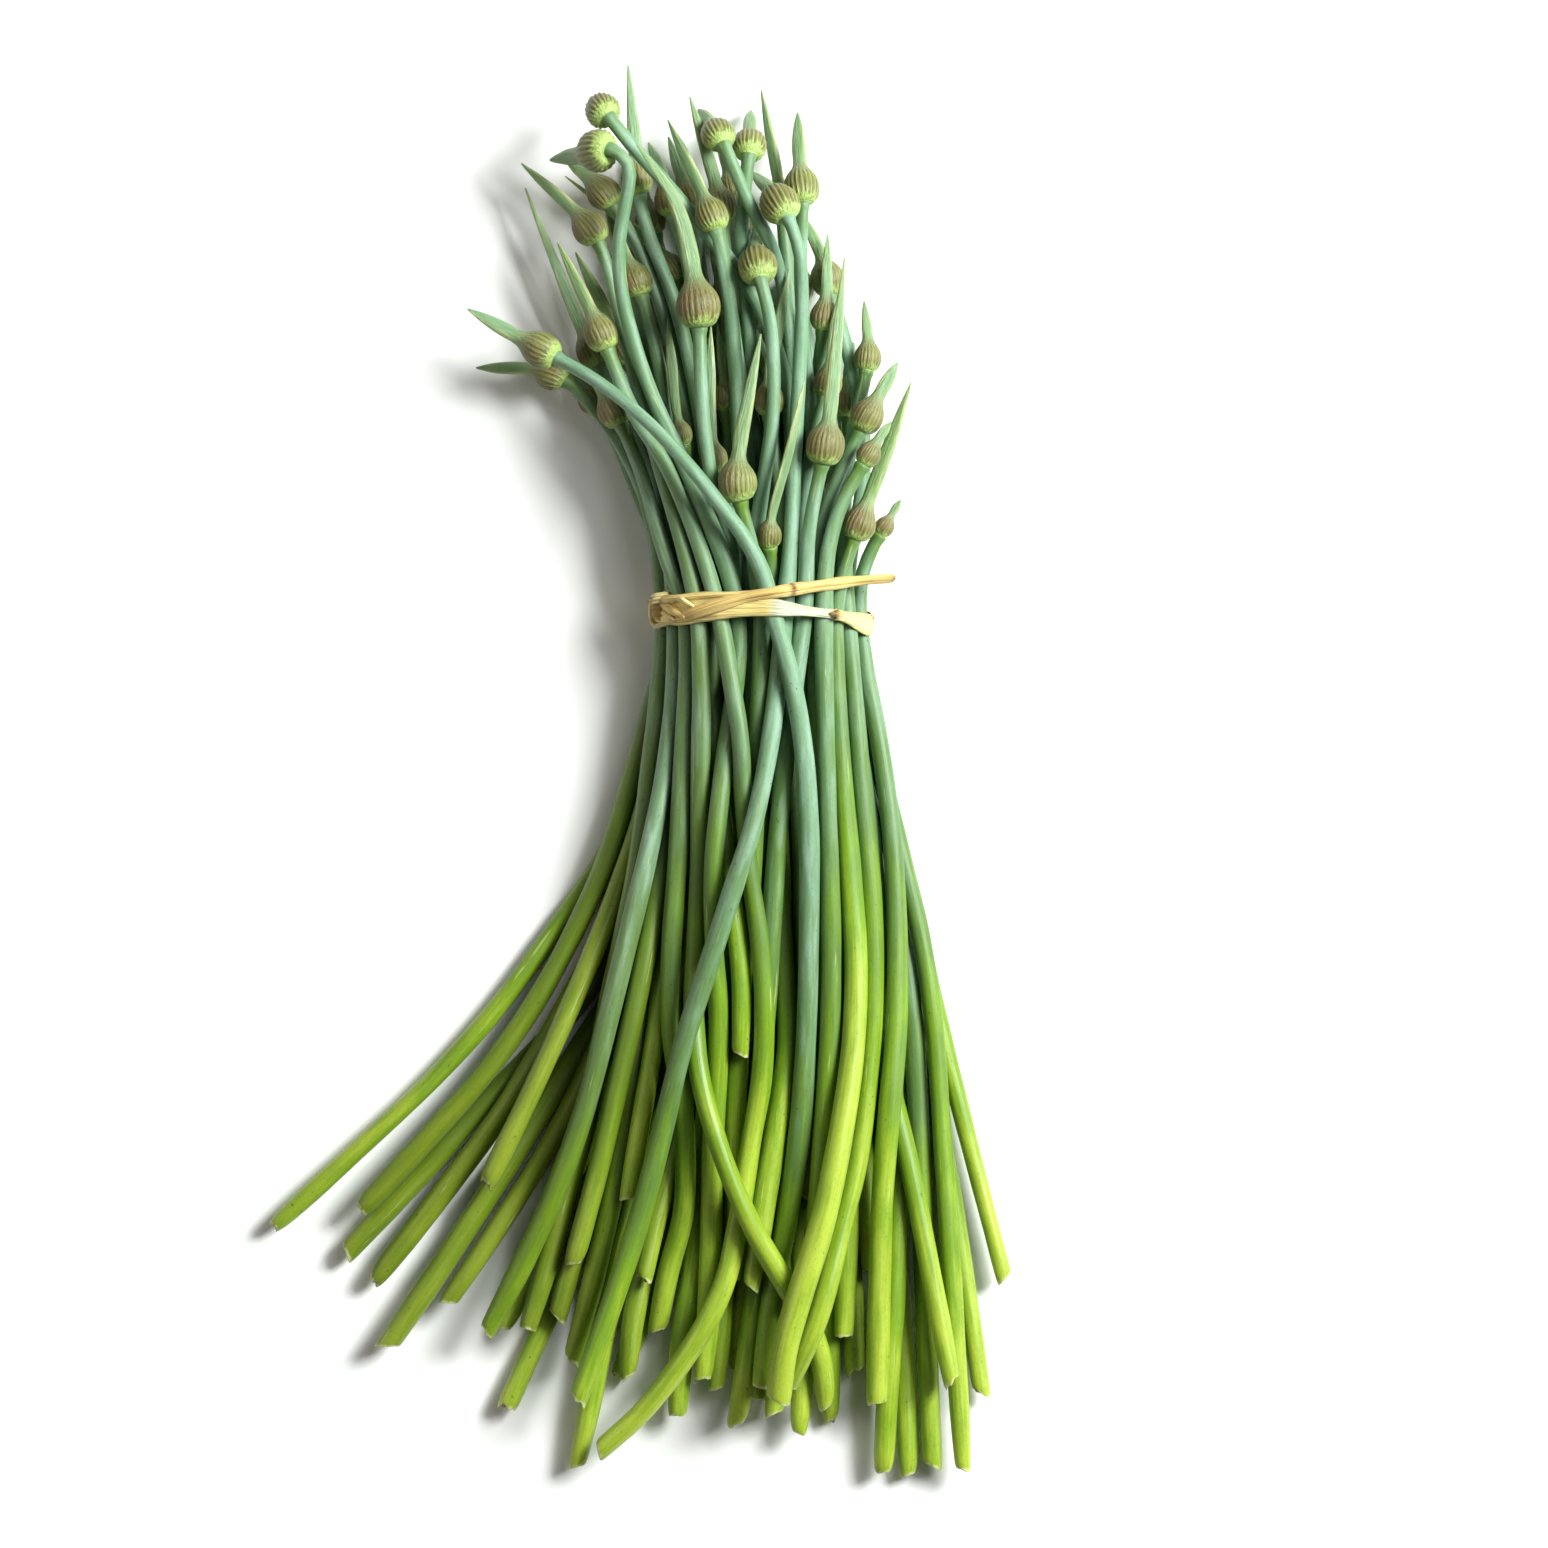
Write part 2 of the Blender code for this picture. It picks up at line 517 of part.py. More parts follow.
def scape_mesh(name, strand, radii, slant):
    """Rings at the stations, a ribbed bud, a point at the beak's tip, and a cut across the foot.

    The cut slants back from the end of the line, so that it only shortens the stem.
    """
    mesh = bmesh.new()
    line = strand.points
    ribbed = (strand.lengths > strand.neck + 1e-6) & (strand.lengths < strand.bud[-1] - 1e-6)
    frames = carried_frames(line)
    rings = [ring_of(mesh, *row) for row in zip(line[:-1], frames, radii, ribbed)]
    cut = Vector(ring_directions(line)[0])
    for vertex in rings[0]:
        off_axis = (vertex.co - Vector(line[0]) * MM).dot(frames[0][0])
        vertex.co += cut * (off_axis * slant + radii[0] * MM * abs(slant))
    for low, high in zip(rings, rings[1:]):
        join_rings(mesh, low, high)
    tip = mesh.verts.new(Vector(line[-1]) * MM)
    for k in range(STEM_SIDES):
        mesh.faces.new((rings[-1][k], rings[-1][(k + 1) % STEM_SIDES], tip))
    mesh.faces.new(rings[0][::-1])
    return mesh_data(name, mesh)


def mesh_data(name, mesh):
    """Triangulates a mesh in the making, turns its faces outwards and stores it."""
    bmesh.ops.triangulate(mesh, faces=mesh.faces[:])
    bmesh.ops.recalc_face_normals(mesh, faces=mesh.faces[:])
    data = bpy.data.meshes.new(name)
    mesh.to_mesh(data)
    mesh.free()
    return data


def tangent_polygon(discs, grow, facets):
    """Corners of the tight outline round a set of discs (x, z, radius), grown outwards."""
    angles = [2.0 * math.pi * (k / facets) - math.pi / 2.0 for k in range(facets)]
    reach = [max(x * math.cos(a) + z * math.sin(a) + r for x, z, r in discs) + grow for a in angles]
    corners = []
    for k in range(facets):
        a, b = angles[k], angles[(k + 1) % facets]
        ra, rb = reach[k], reach[(k + 1) % facets]
        det = math.sin(b - a)
        x = (ra * math.sin(b) - rb * math.sin(a)) / det
        z = (rb * math.cos(a) - ra * math.cos(b)) / det
        corners.append((x, z))
    return corners


# Raffia


def band_lean(x):
    """The band sits a little lower towards its right-hand end."""
    return BAND_MIDDLE + BAND_SLOPE * x


def discs_at_tie(bunch):
    """The stems' cross-sections wherever they pass under the band."""
    discs = []
    for link in bunch.links:
        a, b = bunch.points[link], bunch.points[link + 1]
        ra, rb = bunch.radii[link], bunch.radii[link + 1]
        for share in np.linspace(0.0, 1.0, STEPS_PER_LINK):
            x, y, z = a + (b - a) * share
            if abs(y - band_lean(x)) < RAFFIA_WIDTH / 2.0 + BAND_MARGIN:
                discs.append((x, z, ra + (rb - ra) * share))
    return discs


def ring_band(name, inner, outer):
    """A closed band between two outlines with the same number of corners."""
    mesh = bmesh.new()
    rings = []
    for (xi, zi), (xo, zo) in zip(inner, outer):
        middle = band_lean(xi)
        low, high = middle - RAFFIA_WIDTH / 2.0, middle + RAFFIA_WIDTH / 2.0
        corners = ((xi, low, zi), (xo, low, zo), (xo, high, zo), (xi, high, zi))
        rings.append([mesh.verts.new(Vector(c) * MM) for c in corners])
    for here, after in zip(rings, rings[1:] + rings[:1]):
        for k in range(4):
            mesh.faces.new((here[k], here[(k + 1) % 4], after[(k + 1) % 4], after[k]))
    return finished(name, mesh)


def strap(name, line, widths, thickness):
    """A flat strip along a line of points, wide along Y and thin square to the line."""
    mesh = bmesh.new()
    rings = []
    headings = ring_directions(np.array(line, float))
    for point, heading, width in zip(line, headings, widths):
        across = Vector((0.0, 1.0, 0.0)) - Vector(heading) * heading[1]
        across.normalize()
        up = Vector(heading).cross(across).normalized()
        half_width, half_height = across * width / 2.0, up * thickness / 2.0
        middle = Vector(point)
        corners = (middle - half_width - half_height, middle + half_width - half_height,
                   middle + half_width + half_height, middle - half_width + half_height)
        rings.append([mesh.verts.new(c * MM) for c in corners])
    for here, after in zip(rings, rings[1:]):
        for k in range(4):
            mesh.faces.new((here[k], here[(k + 1) % 4], after[(k + 1) % 4], after[k]))
    mesh.faces.new(rings[0][::-1])
    mesh.faces.new(rings[-1])
    return finished(name, mesh)


def knot(name, centre):
    """The overhand knot: a small lump, longer along the stems than across them."""
    mesh = bmesh.new()
    bmesh.ops.create_icosphere(mesh, subdivisions=2, radius=1.0)
    size = Matrix.Diagonal((*(radius * MM for radius in KNOT_RADII), 1.0))
    shape = Matrix.Translation(Vector(centre) * MM) @ size
    bmesh.ops.transform(mesh, matrix=shape, verts=mesh.verts[:])
    return finished(name, mesh)


def finished(name, mesh):
    """An object in the scene with the mesh in the making."""
    made = bpy.data.objects.new(name, mesh_data(name, mesh))
    bpy.context.scene.collection.objects.link(made)
    return made


def top_at(bunch, x, y, half):
    """Height of the highest stem within a small square seen from above."""
    height = 0.0
    for link in bunch.links:
        a, b = bunch.points[link], bunch.points[link + 1]
        if min(a[1], b[1]) > y + half + SEARCH_REACH or max(a[1], b[1]) < y - half - SEARCH_REACH:
            continue
        for share in np.linspace(0.0, 1.0, STEPS_PER_LINK):
            px, py, pz = a + (b - a) * share
            radius = bunch.radii[link] * (1.0 - share) + bunch.radii[link + 1] * share
            if abs(px - x) < half + radius and abs(py - y) < half + 2.0:
                height = max(height, pz + radius)
    return height


def top_of(outline, x):
    """Height of the outline's upper side at x."""
    height = -1e9
    for (xa, za), (xb, zb) in zip(outline, outline[1:] + outline[:1]):
        if min(xa, xb) <= x <= max(xa, xb) and xa != xb:
            height = max(height, za + (zb - za) * (x - xa) / (xb - xa))
    return height


def raffia_tie(bunch):
    """The wound band, its knot on the left and the loose tail that leaves to the right."""
    discs = discs_at_tie(bunch)
    inner = tangent_polygon(discs, CLEARANCE, RAFFIA_FACETS)
    outer = tangent_polygon(discs, CLEARANCE + RAFFIA_THICKNESS, RAFFIA_FACETS)
    outer = [(x, 0.0 if z < FLAT_BELOW else z) for x, z in outer]
    band = ring_band("raffia_tie", inner, outer)
    left = min(x for x, _ in outer)
    right = max(x for x, _ in outer)
    knot_x = left + KNOT_SHIFT[0]
    knot_top = top_of(outer, left + KNOT_RADII[1]) + KNOT_SHIFT[2]
    knot_centre = (knot_x, band_lean(knot_x) + KNOT_SHIFT[1], knot_top)
    tail = []
    for x, y in TAIL_ROUTE:
        x = max(x, left + BAND_MARGIN)
        over_stems = top_at(bunch, x, y, TAIL_REACH) + CLEARANCE + TAIL_THICKNESS / 2.0
        tail.append((x, y, max(over_stems, top_of(outer, x) + TAIL_THICKNESS / 2.0 - TAIL_SINK)))
    for beyond, y, fall in TAIL_END:
        tail.append((right + beyond, y, tail[-1][2] + fall))
    helpers = [knot("knot", knot_centre), strap("tail", tail, TAIL_WIDTHS, TAIL_THICKNESS)]
    union(band, helpers)
    return band


def union(base, helpers):
    """Joins the helpers into the base with one Boolean each and removes them."""
    for helper in helpers:
        modifier = base.modifiers.new("join", "BOOLEAN")
        modifier.operation = "UNION"
        modifier.solver = "EXACT"
        modifier.object = helper
        graph = bpy.context.evaluated_depsgraph_get()
        joined = bpy.data.meshes.new_from_object(base.evaluated_get(graph))
        base.modifiers.clear()
        base.data = joined
        bpy.data.objects.remove(helper)
    mesh = bmesh.new()
    mesh.from_mesh(base.data)
    bmesh.ops.triangulate(mesh, faces=mesh.faces[:])
    mesh.to_mesh(base.data)
    mesh.free()


# Materials


def material(name, colour, roughness):
    made = bpy.data.materials.new(name)
    made.use_nodes = True
    shader = made.node_tree.nodes["Principled BSDF"]
    shader.inputs["Base Color"].default_value = colour
    shader.inputs["Roughness"].default_value = roughness
    shader.inputs["Metallic"].default_value = 0.0
    return made


def main():
    for obj in list(bpy.data.objects):
        bpy.data.objects.remove(obj)
    green = material("scape green", GREEN_STEM, 0.5)
    straw = material("raffia straw", RAFFIA_STRAW, 0.7)
    bunch = settled_strands()
    made = []
    for number, strand in enumerate(bunch.strands):
        name = f"scape_{number + 1:02d}"
        slant = CUT_SLANT * math.sin(number * CUT_TURN)
        data = scape_mesh(name, strand, bunch.radii[bunch.owner == number], slant)
        data.materials.append(green)
        scape = bpy.data.objects.new(name, data)
        bpy.context.scene.collection.objects.link(scape)
        made.append(scape)
    tie = raffia_tie(bunch)
    tie.data.materials.clear()
    tie.data.materials.append(straw)
    made.append(tie)
    centre_on_origin(made)


def centre_on_origin(made):
    """Moves the whole bunch so that the origin is under the middle of its box, on the table."""
    corners = np.array([tuple(v.co) for obj in made for v in obj.data.vertices])
    low, high = corners.min(axis=0), corners.max(axis=0)
    shift = Matrix.Translation((-(low[0] + high[0]) / 2.0, -(low[1] + high[1]) / 2.0, -low[2]))
    for obj in made:
        obj.data.transform(shift)


main()
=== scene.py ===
"""The looks of a tied bunch of garlic scapes.

Each scape gets a fine round stem, a ribbed flower bud, a flattened beak and a cut foot, all laid along
the middle line of its solid in the frame. The raffia is wound round those same stems.
Lengths are in millimetres inside the functions and in metres in the scene.
"""

import math
from functools import partial

import bpy
import numpy as np
from bpy.props import FloatProperty, FloatVectorProperty, IntProperty, PointerProperty
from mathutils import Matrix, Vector


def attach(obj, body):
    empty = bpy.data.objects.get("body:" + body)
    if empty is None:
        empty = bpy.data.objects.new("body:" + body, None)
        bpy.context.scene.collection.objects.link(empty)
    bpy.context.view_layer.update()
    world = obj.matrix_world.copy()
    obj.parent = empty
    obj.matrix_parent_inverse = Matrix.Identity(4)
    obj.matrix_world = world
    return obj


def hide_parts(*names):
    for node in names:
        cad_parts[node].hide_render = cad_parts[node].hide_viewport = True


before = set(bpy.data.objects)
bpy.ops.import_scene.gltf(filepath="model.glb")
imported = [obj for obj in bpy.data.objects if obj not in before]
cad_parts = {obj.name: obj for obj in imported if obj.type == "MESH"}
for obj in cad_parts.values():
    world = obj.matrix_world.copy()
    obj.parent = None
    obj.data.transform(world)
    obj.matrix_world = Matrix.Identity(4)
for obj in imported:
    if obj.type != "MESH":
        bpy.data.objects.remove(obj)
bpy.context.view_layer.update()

bl_info = {
    "name": "Garlic scape bunch",
    "version": (1, 0, 0),
    "blender": (4, 5, 0),
    "location": "3D View > Sidebar > Scapes",
    "description": "Dresses a bunch of garlic scapes with stems, buds, beaks and a raffia tie",
    "category": "Object",
}

MM = 0.001
TURN = 2.0 * math.pi
UPWARD = (0.0, 0.0, 1.0)
SCAPES = sorted(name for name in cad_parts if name.startswith("scape_"))

# The solids' polygons stand a little outside the round stem that they stand for.
FACET_SWELL = 1.04

# The bud's rings in the solids, from its tip side: places along the bud in bud radii.
SOLID_BUD_TOP = 1.6
SOLID_BUD_FOOT = -0.74

# Corners of the solids' first rings, from the tip of the beak to the neck.
TIP_RINGS = (1, 6, 6, 12, 12, 12, 12, 6)

# Outline of the bud: places in bud radii from its widest part, and radii in bud radii, of a sloping bud
# and of one with round shoulders.
BUD_PLACES = (-1.02, -0.98, -0.9, -0.74, -0.55, -0.35, -0.1, 0.15, 0.4, 0.6, 0.8, 1.0, 1.2, 1.4, 1.6)
BUD_RADII = (0.5, 0.6, 0.71, 0.84, 0.93, 0.985, 1.005, 0.975, 0.89, 0.785, 0.665, 0.56, 0.485, 0.435, 0.4)
ROUND_RADII = (0.5, 0.6, 0.71, 0.84, 0.93, 0.985, 1.005, 0.99, 0.925, 0.83, 0.68, 0.52, 0.42, 0.38, 0.36)

# Narrowest and widest half width of a beak at its middle, in mm.
BEAK_HALF_WIDTHS = (1.1, 1.75)

# Middle of the tie, from the middle of the bunch's box, and the middle of the view from the tie's, in mm.
TIE = (36.8, 50.45, 0.0)
VIEW_FROM_TIE = (3.9, -50.4, 22.0)

# How far a stem draws in at its foot, as a share of its radius, and how ragged its cut is, in mm.
TAPERS = (0.08, 0.28)
FRAYINGS = (0.05, 0.1, 0.28)

# Points of a bud's ring to one of its ribs, rings along a bud, and mm between rings of a beak.
POINTS_PER_RIB = 4
BUD_RINGS = 28
BEAK_STEP = 1.6

# Seeds of the scapes' own dice, which follow their numbers, and of the raffia's.
FIRST_SEED = 1000
RAFFIA_SEED = 77

# How brown a whole head may be, and one that nods over. Its left side, away from the key light, gets more brown on
# top of that: painted shade.
BROWNS = (0.0, 0.6)
NODDING_BROWNS = (0.1, 0.4)

# How much yellower (+) or bluer (-) than its neighbours a scape is, and the range for those that aren't listed.
SPARE_TINTS = (-0.12, 0.1)
TINTS = {
    1: 0.12, 2: 0.16, 3: 0.1, 4: -0.2, 5: 0.1, 9: 0.14, 10: 0.3, 11: 0.34, 16: 0.06, 17: 0.08, 21: 0.1,
    27: 0.06, 28: -0.3, 36: 0.14, 37: -0.05, 38: -0.25, 42: 0.05, 44: 0.3, 45: 0.12, 46: 0.28, 49: -0.22,
    52: -0.3,
}

# Scapes whose buds nod over, so that the side round the neck shows: lime there and evenly ribbed.
NODDING = (14, 24, 32, 33, 35, 40, 47, 49)

# How much painted shade, a duller and darker green, each scape on the left of the fan gets towards its foot: that
# side of the bunch is away from the key light.
PAINTED_SHADE_BY_SCAPE = {
    1: 0.35, 2: 0.9, 3: 0.8, 4: 0.85, 9: 0.95, 10: 0.75, 11: 0.85, 12: 0.85, 18: 0.85, 19: 0.7, 20: 0.6,
    28: 0.5, 29: 0.6, 30: 0.5,
}

# How much painted shade, a duller and darker green, the stems at the left-hand end of the tie get.
TIE_LEFT_PAINTED_SHADE = 0.45

# Ripeness of the skin of a head.
HEAD_RIPENESS = 0.16

# Ripeness of the skin at these places from the foot, in mm.
RIPENESS = ((0.0, 40.0, 110.0, 200.0, 300.0, 420.0), (0.9, 0.8, 0.58, 0.3, 0.1, 0.04))

# Lengths of the slow swellings along a stem, in mm.
WAVE_LENGTHS = (23.0, 41.0, 76.0, 150.0)

# How far to each side of a place, in mm, a stem's bend is evened out.
BEND_EASE = 3.5

# How far up the stem its foot starts to draw in, in mm.
FOOT_TAPER = 20.0

# How much of the solid's slant the finely made cut takes; its ragged rim makes up for the rest.
CUT_SHARE = 0.72

# Rings of the foot, as shares of its reach, and of the cut, as shares of its rim and hollows in mm.
FOOT_RINGS = (0.0, 0.02, 0.07, 0.15, 0.27, 0.45, 0.7, 1.0)
CUT_RINGS = ((0.86, 0.35), (0.55, 0.2), (0.28, 0.5))

# Rings of the small collar, in mm below the neck.
COLLAR_RINGS = (2.6, 1.7, 1.0, 0.5, 0.0)

# Feet that end round and blunt instead of cut straight through.
BLUNT_FEET = (1, 2, 6, 9, 10, 13, 19, 26, 29, 34, 45, 48, 51)


def shade(red, green, blue):
    """A colour as it shows on screen, 0 to 255, as the linear colour that Blender mixes with."""
    return tuple((c / 255.0 / 12.92) if c <= 10 else ((c / 255.0 + 0.055) / 1.055) ** 2.4
                 for c in (red, green, blue))


# Sizes and colours

LengthProperty = partial(FloatProperty, unit="LENGTH")
ShareProperty = partial(FloatProperty, min=0.0, subtype="FACTOR")
ColourProperty = partial(FloatVectorProperty, size=3, subtype="COLOR", min=0.0, max=1.0)


class ScapeSettings(bpy.types.PropertyGroup):
    ribs: IntProperty(
        name="Ribs", description="Fine ribs round a bud, and sides round a stem", default=22, min=8, max=40)
    ring_spacing: LengthProperty(
        name="Ring spacing", description="Distance between rings along a stem", default=0.004, min=0.001, max=0.02)
    rib_depth: ShareProperty(
        name="Rib depth", description="Depth of a bud's ribs, as a share of its radius", default=0.095, max=0.3)
    unevenness: ShareProperty(
        name="Unevenness", description="How far a stem swells and narrows", default=0.035, max=0.2)
    flatness: ShareProperty(
        name="Beak flatness", description="How much narrower a beak is one way", default=0.4, max=0.8)
    bloom: ColourProperty(
        name="Bloom", description="Blue-green of the waxy skin below the bud", default=shade(104, 142, 106))
    leaf: ColourProperty(
        name="Leaf green", description="Green of the middle of a stem", default=shade(82, 116, 44))
    fresh: ColourProperty(
        name="Fresh green", description="Bright green of the lower stem", default=shade(114, 150, 16))
    lime: ColourProperty(
        name="Lime", description="Yellow-green of a stem's foot", default=shade(170, 190, 58))
    crest: ColourProperty(
        name="Rib crest", description="Pale lime along a bud's ribs", default=shade(158, 168, 96))
    groove: ColourProperty(
        name="Rib groove", description="Olive between a bud's ribs", default=shade(84, 82, 36))
    # Partly painted shade: this brown lies mostly on the left side of every bud, away from the key light, besides
    # each head's own browning.
    blush: ColourProperty(
        name="Blush", description="Tan brown of a bud's sunned side", default=shade(124, 96, 66))
    cream: ColourProperty(
        name="Cream", description="Pale edges and tip of a beak", default=shade(204, 202, 140))
    # The colour of the painted shade on the left of the bunch, away from the key light.
    olive_shade: ColourProperty(
        name="Olive", description="Duller olive of the older scapes on the left", default=shade(84, 98, 4))
    flesh: ColourProperty(
        name="Cut flesh", description="Dried face of a cut foot", default=shade(184, 168, 130))


class RaffiaSettings(bpy.types.PropertyGroup):
    thickness: LengthProperty(
        name="Thickness", description="Thickness of a raffia strand", default=0.0006, min=0.0002, max=0.002)
    slack: LengthProperty(
        name="Slack", description="Gap between the stems and the raffia", default=0.00035, min=0.0, max=0.002)
    straw: ColourProperty(
        name="Straw", description="Pale straw of the wound strands", default=shade(244, 222, 140))
    golden: ColourProperty(
        name="Golden", description="Darker straw of the loose tail", default=shade(224, 184, 100))
    bleached: ColourProperty(
        name="Bleached", description="Near white stretch of the band", default=shade(204, 206, 176))
    joint: ColourProperty(
        name="Joint", description="Brown of the marks along the leaf strip", default=shade(104, 62, 28))


class StageSettings(bpy.types.PropertyGroup):
    floor_size: LengthProperty(
        name="Floor size", description="Side of the square floor", default=6.0, min=1.0, max=20.0)
    floor_colour: ColourProperty(
        name="Floor colour", description="Pale grey white of the floor", default=(0.94, 0.94, 0.94))
    view_width: LengthProperty(
        name="View width", description="Width of what the camera sees at half the bunch's height",
        default=0.4644, min=0.1, max=2.0)
    lens: FloatProperty(
        name="Lens", description="Focal length of the camera", default=220.0, min=20.0, max=400.0, unit="CAMERA")


# Curves


def smooth_values(at, places, values):
    """Cubic curve through values at places, read at the points in at."""
    places, values = np.asarray(places, float), np.asarray(values, float)
    slopes = np.gradient(values, places)
    at = np.clip(at, places[0], places[-1])
    k = np.clip(np.searchsorted(places, at, side="right") - 1, 0, len(places) - 2)
    gap = places[k + 1] - places[k]
    s = (at - places[k]) / gap
    return ((2 * s**3 - 3 * s**2 + 1) * values[k] + (s**3 - 2 * s**2 + s) * gap * slopes[k]
            + (3 * s**2 - 2 * s**3) * values[k + 1] + (s**3 - s**2) * gap * slopes[k + 1])


def smooth_points(at, places, points):
    """The same curve through points in space."""
    points = np.asarray(points, float)
    return np.stack([smooth_values(at, places, points[:, axis]) for axis in range(3)], axis=1)


def lengths_along(points):
    """How far along a line each of its points lies."""
    steps = np.linalg.norm(np.diff(points, axis=0), axis=1)
    return np.concatenate([[0.0], np.cumsum(steps)])


def unit(vectors):
    """The same directions, each of length 1."""
    return vectors / np.linalg.norm(vectors, axis=1)[:, None]


def headings_of(points):
    return unit(np.gradient(points, axis=0))


def angles_round(count):
    """Angles that share a turn evenly."""
    return TURN * np.arange(count) / count


def spokes(angles, side, up):
    """Directions out of a line at these angles round it."""
    return np.outer(np.cos(angles), side) + np.outer(np.sin(angles), up)


def carried_frames(headings, first_side):
    """Two directions square to the line at each point, carried along it without twisting."""
    side = np.array(first_side, float)
    sides, ups = [], []
    for heading in headings:
        side = side - heading * side.dot(heading)
        side /= np.linalg.norm(side)
        sides.append(side)
        ups.append(np.cross(heading, side))
    return np.array(sides), np.array(ups)


def eased(value, start, end):
    """0 before start, 1 after end, and smooth in between."""
    share = np.clip((np.asarray(value, float) - start) / (end - start), 0.0, 1.0)
    return share * share * (3.0 - 2.0 * share)


# Meshes


# Numbers of a scape's materials.
STEM, HEAD, CUT = 0, 1, 2


class Skin:
    """Rings of points joined into a closed skin, with the values that its materials read."""

    def __init__(self):
        self.points, self.faces, self.finishes = [], [], []
        self.values = {}

    def ring(self, points, **values):
        """Adds points in a ring and returns their numbers. Each value is one number or one per point."""
        first = len(self.points)
        self.points.extend(points)
        for name, value in values.items():
            self.values.setdefault(name, []).extend(np.broadcast_to(value, (len(points),)).tolist())
        return list(range(first, first + len(points)))

    def join(self, low, high, finish=0):
        """Joins two rings that have as many points, or one a whole number of times as many as the other."""
        if len(low) > len(high):
            self.join_uneven(high, low, finish, flip=True)
        elif len(low) < len(high):
            self.join_uneven(low, high, finish, flip=False)
        else:
            for k in range(len(low)):
                after = (k + 1) % len(low)
                self.face((low[k], low[after], high[after], high[k]), finish)

    def join_all(self, rings, finish=0):
        for low, high in zip(rings, rings[1:]):
            self.join(low, high, finish)

    def join_uneven(self, few, many, finish, flip):
        share = len(many) // len(few)
        for k, corner in enumerate(few):
            after = few[(k + 1) % len(few)]
            fan = [many[(k * share + step) % len(many)] for step in range(share + 1)]
            half = share // 2
            for step in range(share):
                base = corner if step < half else after
                self.face((base, fan[step + 1], fan[step]), finish, flip)
            self.face((corner, after, fan[half]), finish, flip)

    def face(self, corners, finish=0, flip=False):
        self.faces.append(corners[::-1] if flip else corners)
        self.finishes.append(finish)

    def close(self, ring, centre, finish, flip, **values):
        """Closes a ring with a fan round one more point."""
        middle = self.ring([centre], **values)[0]
        for k, corner in enumerate(ring):
            self.face((corner, ring[(k + 1) % len(ring)], middle), finish, flip)

    def piece(self, name, materials):
        """The skin as an object in the scene, in metres."""
        data = bpy.data.meshes.new(name)
        points = np.array(self.points) * MM
        points[:, 2] = np.maximum(points[:, 2], 0.0)
        data.from_pydata(points.tolist(), [], self.faces)
        for finish in materials:
            data.materials.append(finish)
        data.polygons.foreach_set("material_index", self.finishes)
        data.polygons.foreach_set("use_smooth", [True] * len(self.faces))
        for value, numbers in self.values.items():
            data.attributes.new(value, "FLOAT", "POINT").data.foreach_set("value", numbers)
        data.update()
        piece = bpy.data.objects.new(name, data)
        bpy.context.scene.collection.objects.link(piece)
        return piece


# Scapes


def solid_rings(node):
    """The solid's cross-sections from the beak's tip to the foot, each an array of points in mm."""
    data = node.data
    places = np.array([v.co[:] for v in data.vertices]) / MM
    corners, number = np.unique(np.round(places, 3), axis=0, return_inverse=True)
    number = number.reshape(-1)
    neighbours = [set() for _ in corners]
    for edge in data.edges:
        a, b = int(number[edge.vertices[0]]), int(number[edge.vertices[1]])
        if a != b:
            neighbours[a].add(b)
            neighbours[b].add(a)
    nearest = [min(np.linalg.norm(corners[a] - corners[b]) for b in near) for a, near in enumerate(neighbours)]
    for start in np.argsort(nearest)[::-1]:
        levels = levels_from(int(start), neighbours)
        if tuple(len(level) for level in levels[:len(TIP_RINGS)]) == TIP_RINGS:
            return [corners[sorted(level)] for level in levels]
    raise ValueError(f"no beak found on {node.name}")


def levels_from(start, neighbours):
    """The corners one step from the start, two steps from it, and so on."""
    level, seen, levels = {start}, set(), []
    while level:
        levels.append(level)
        seen |= level
        level = set().union(*(neighbours[a] for a in level)) - seen
    return levels


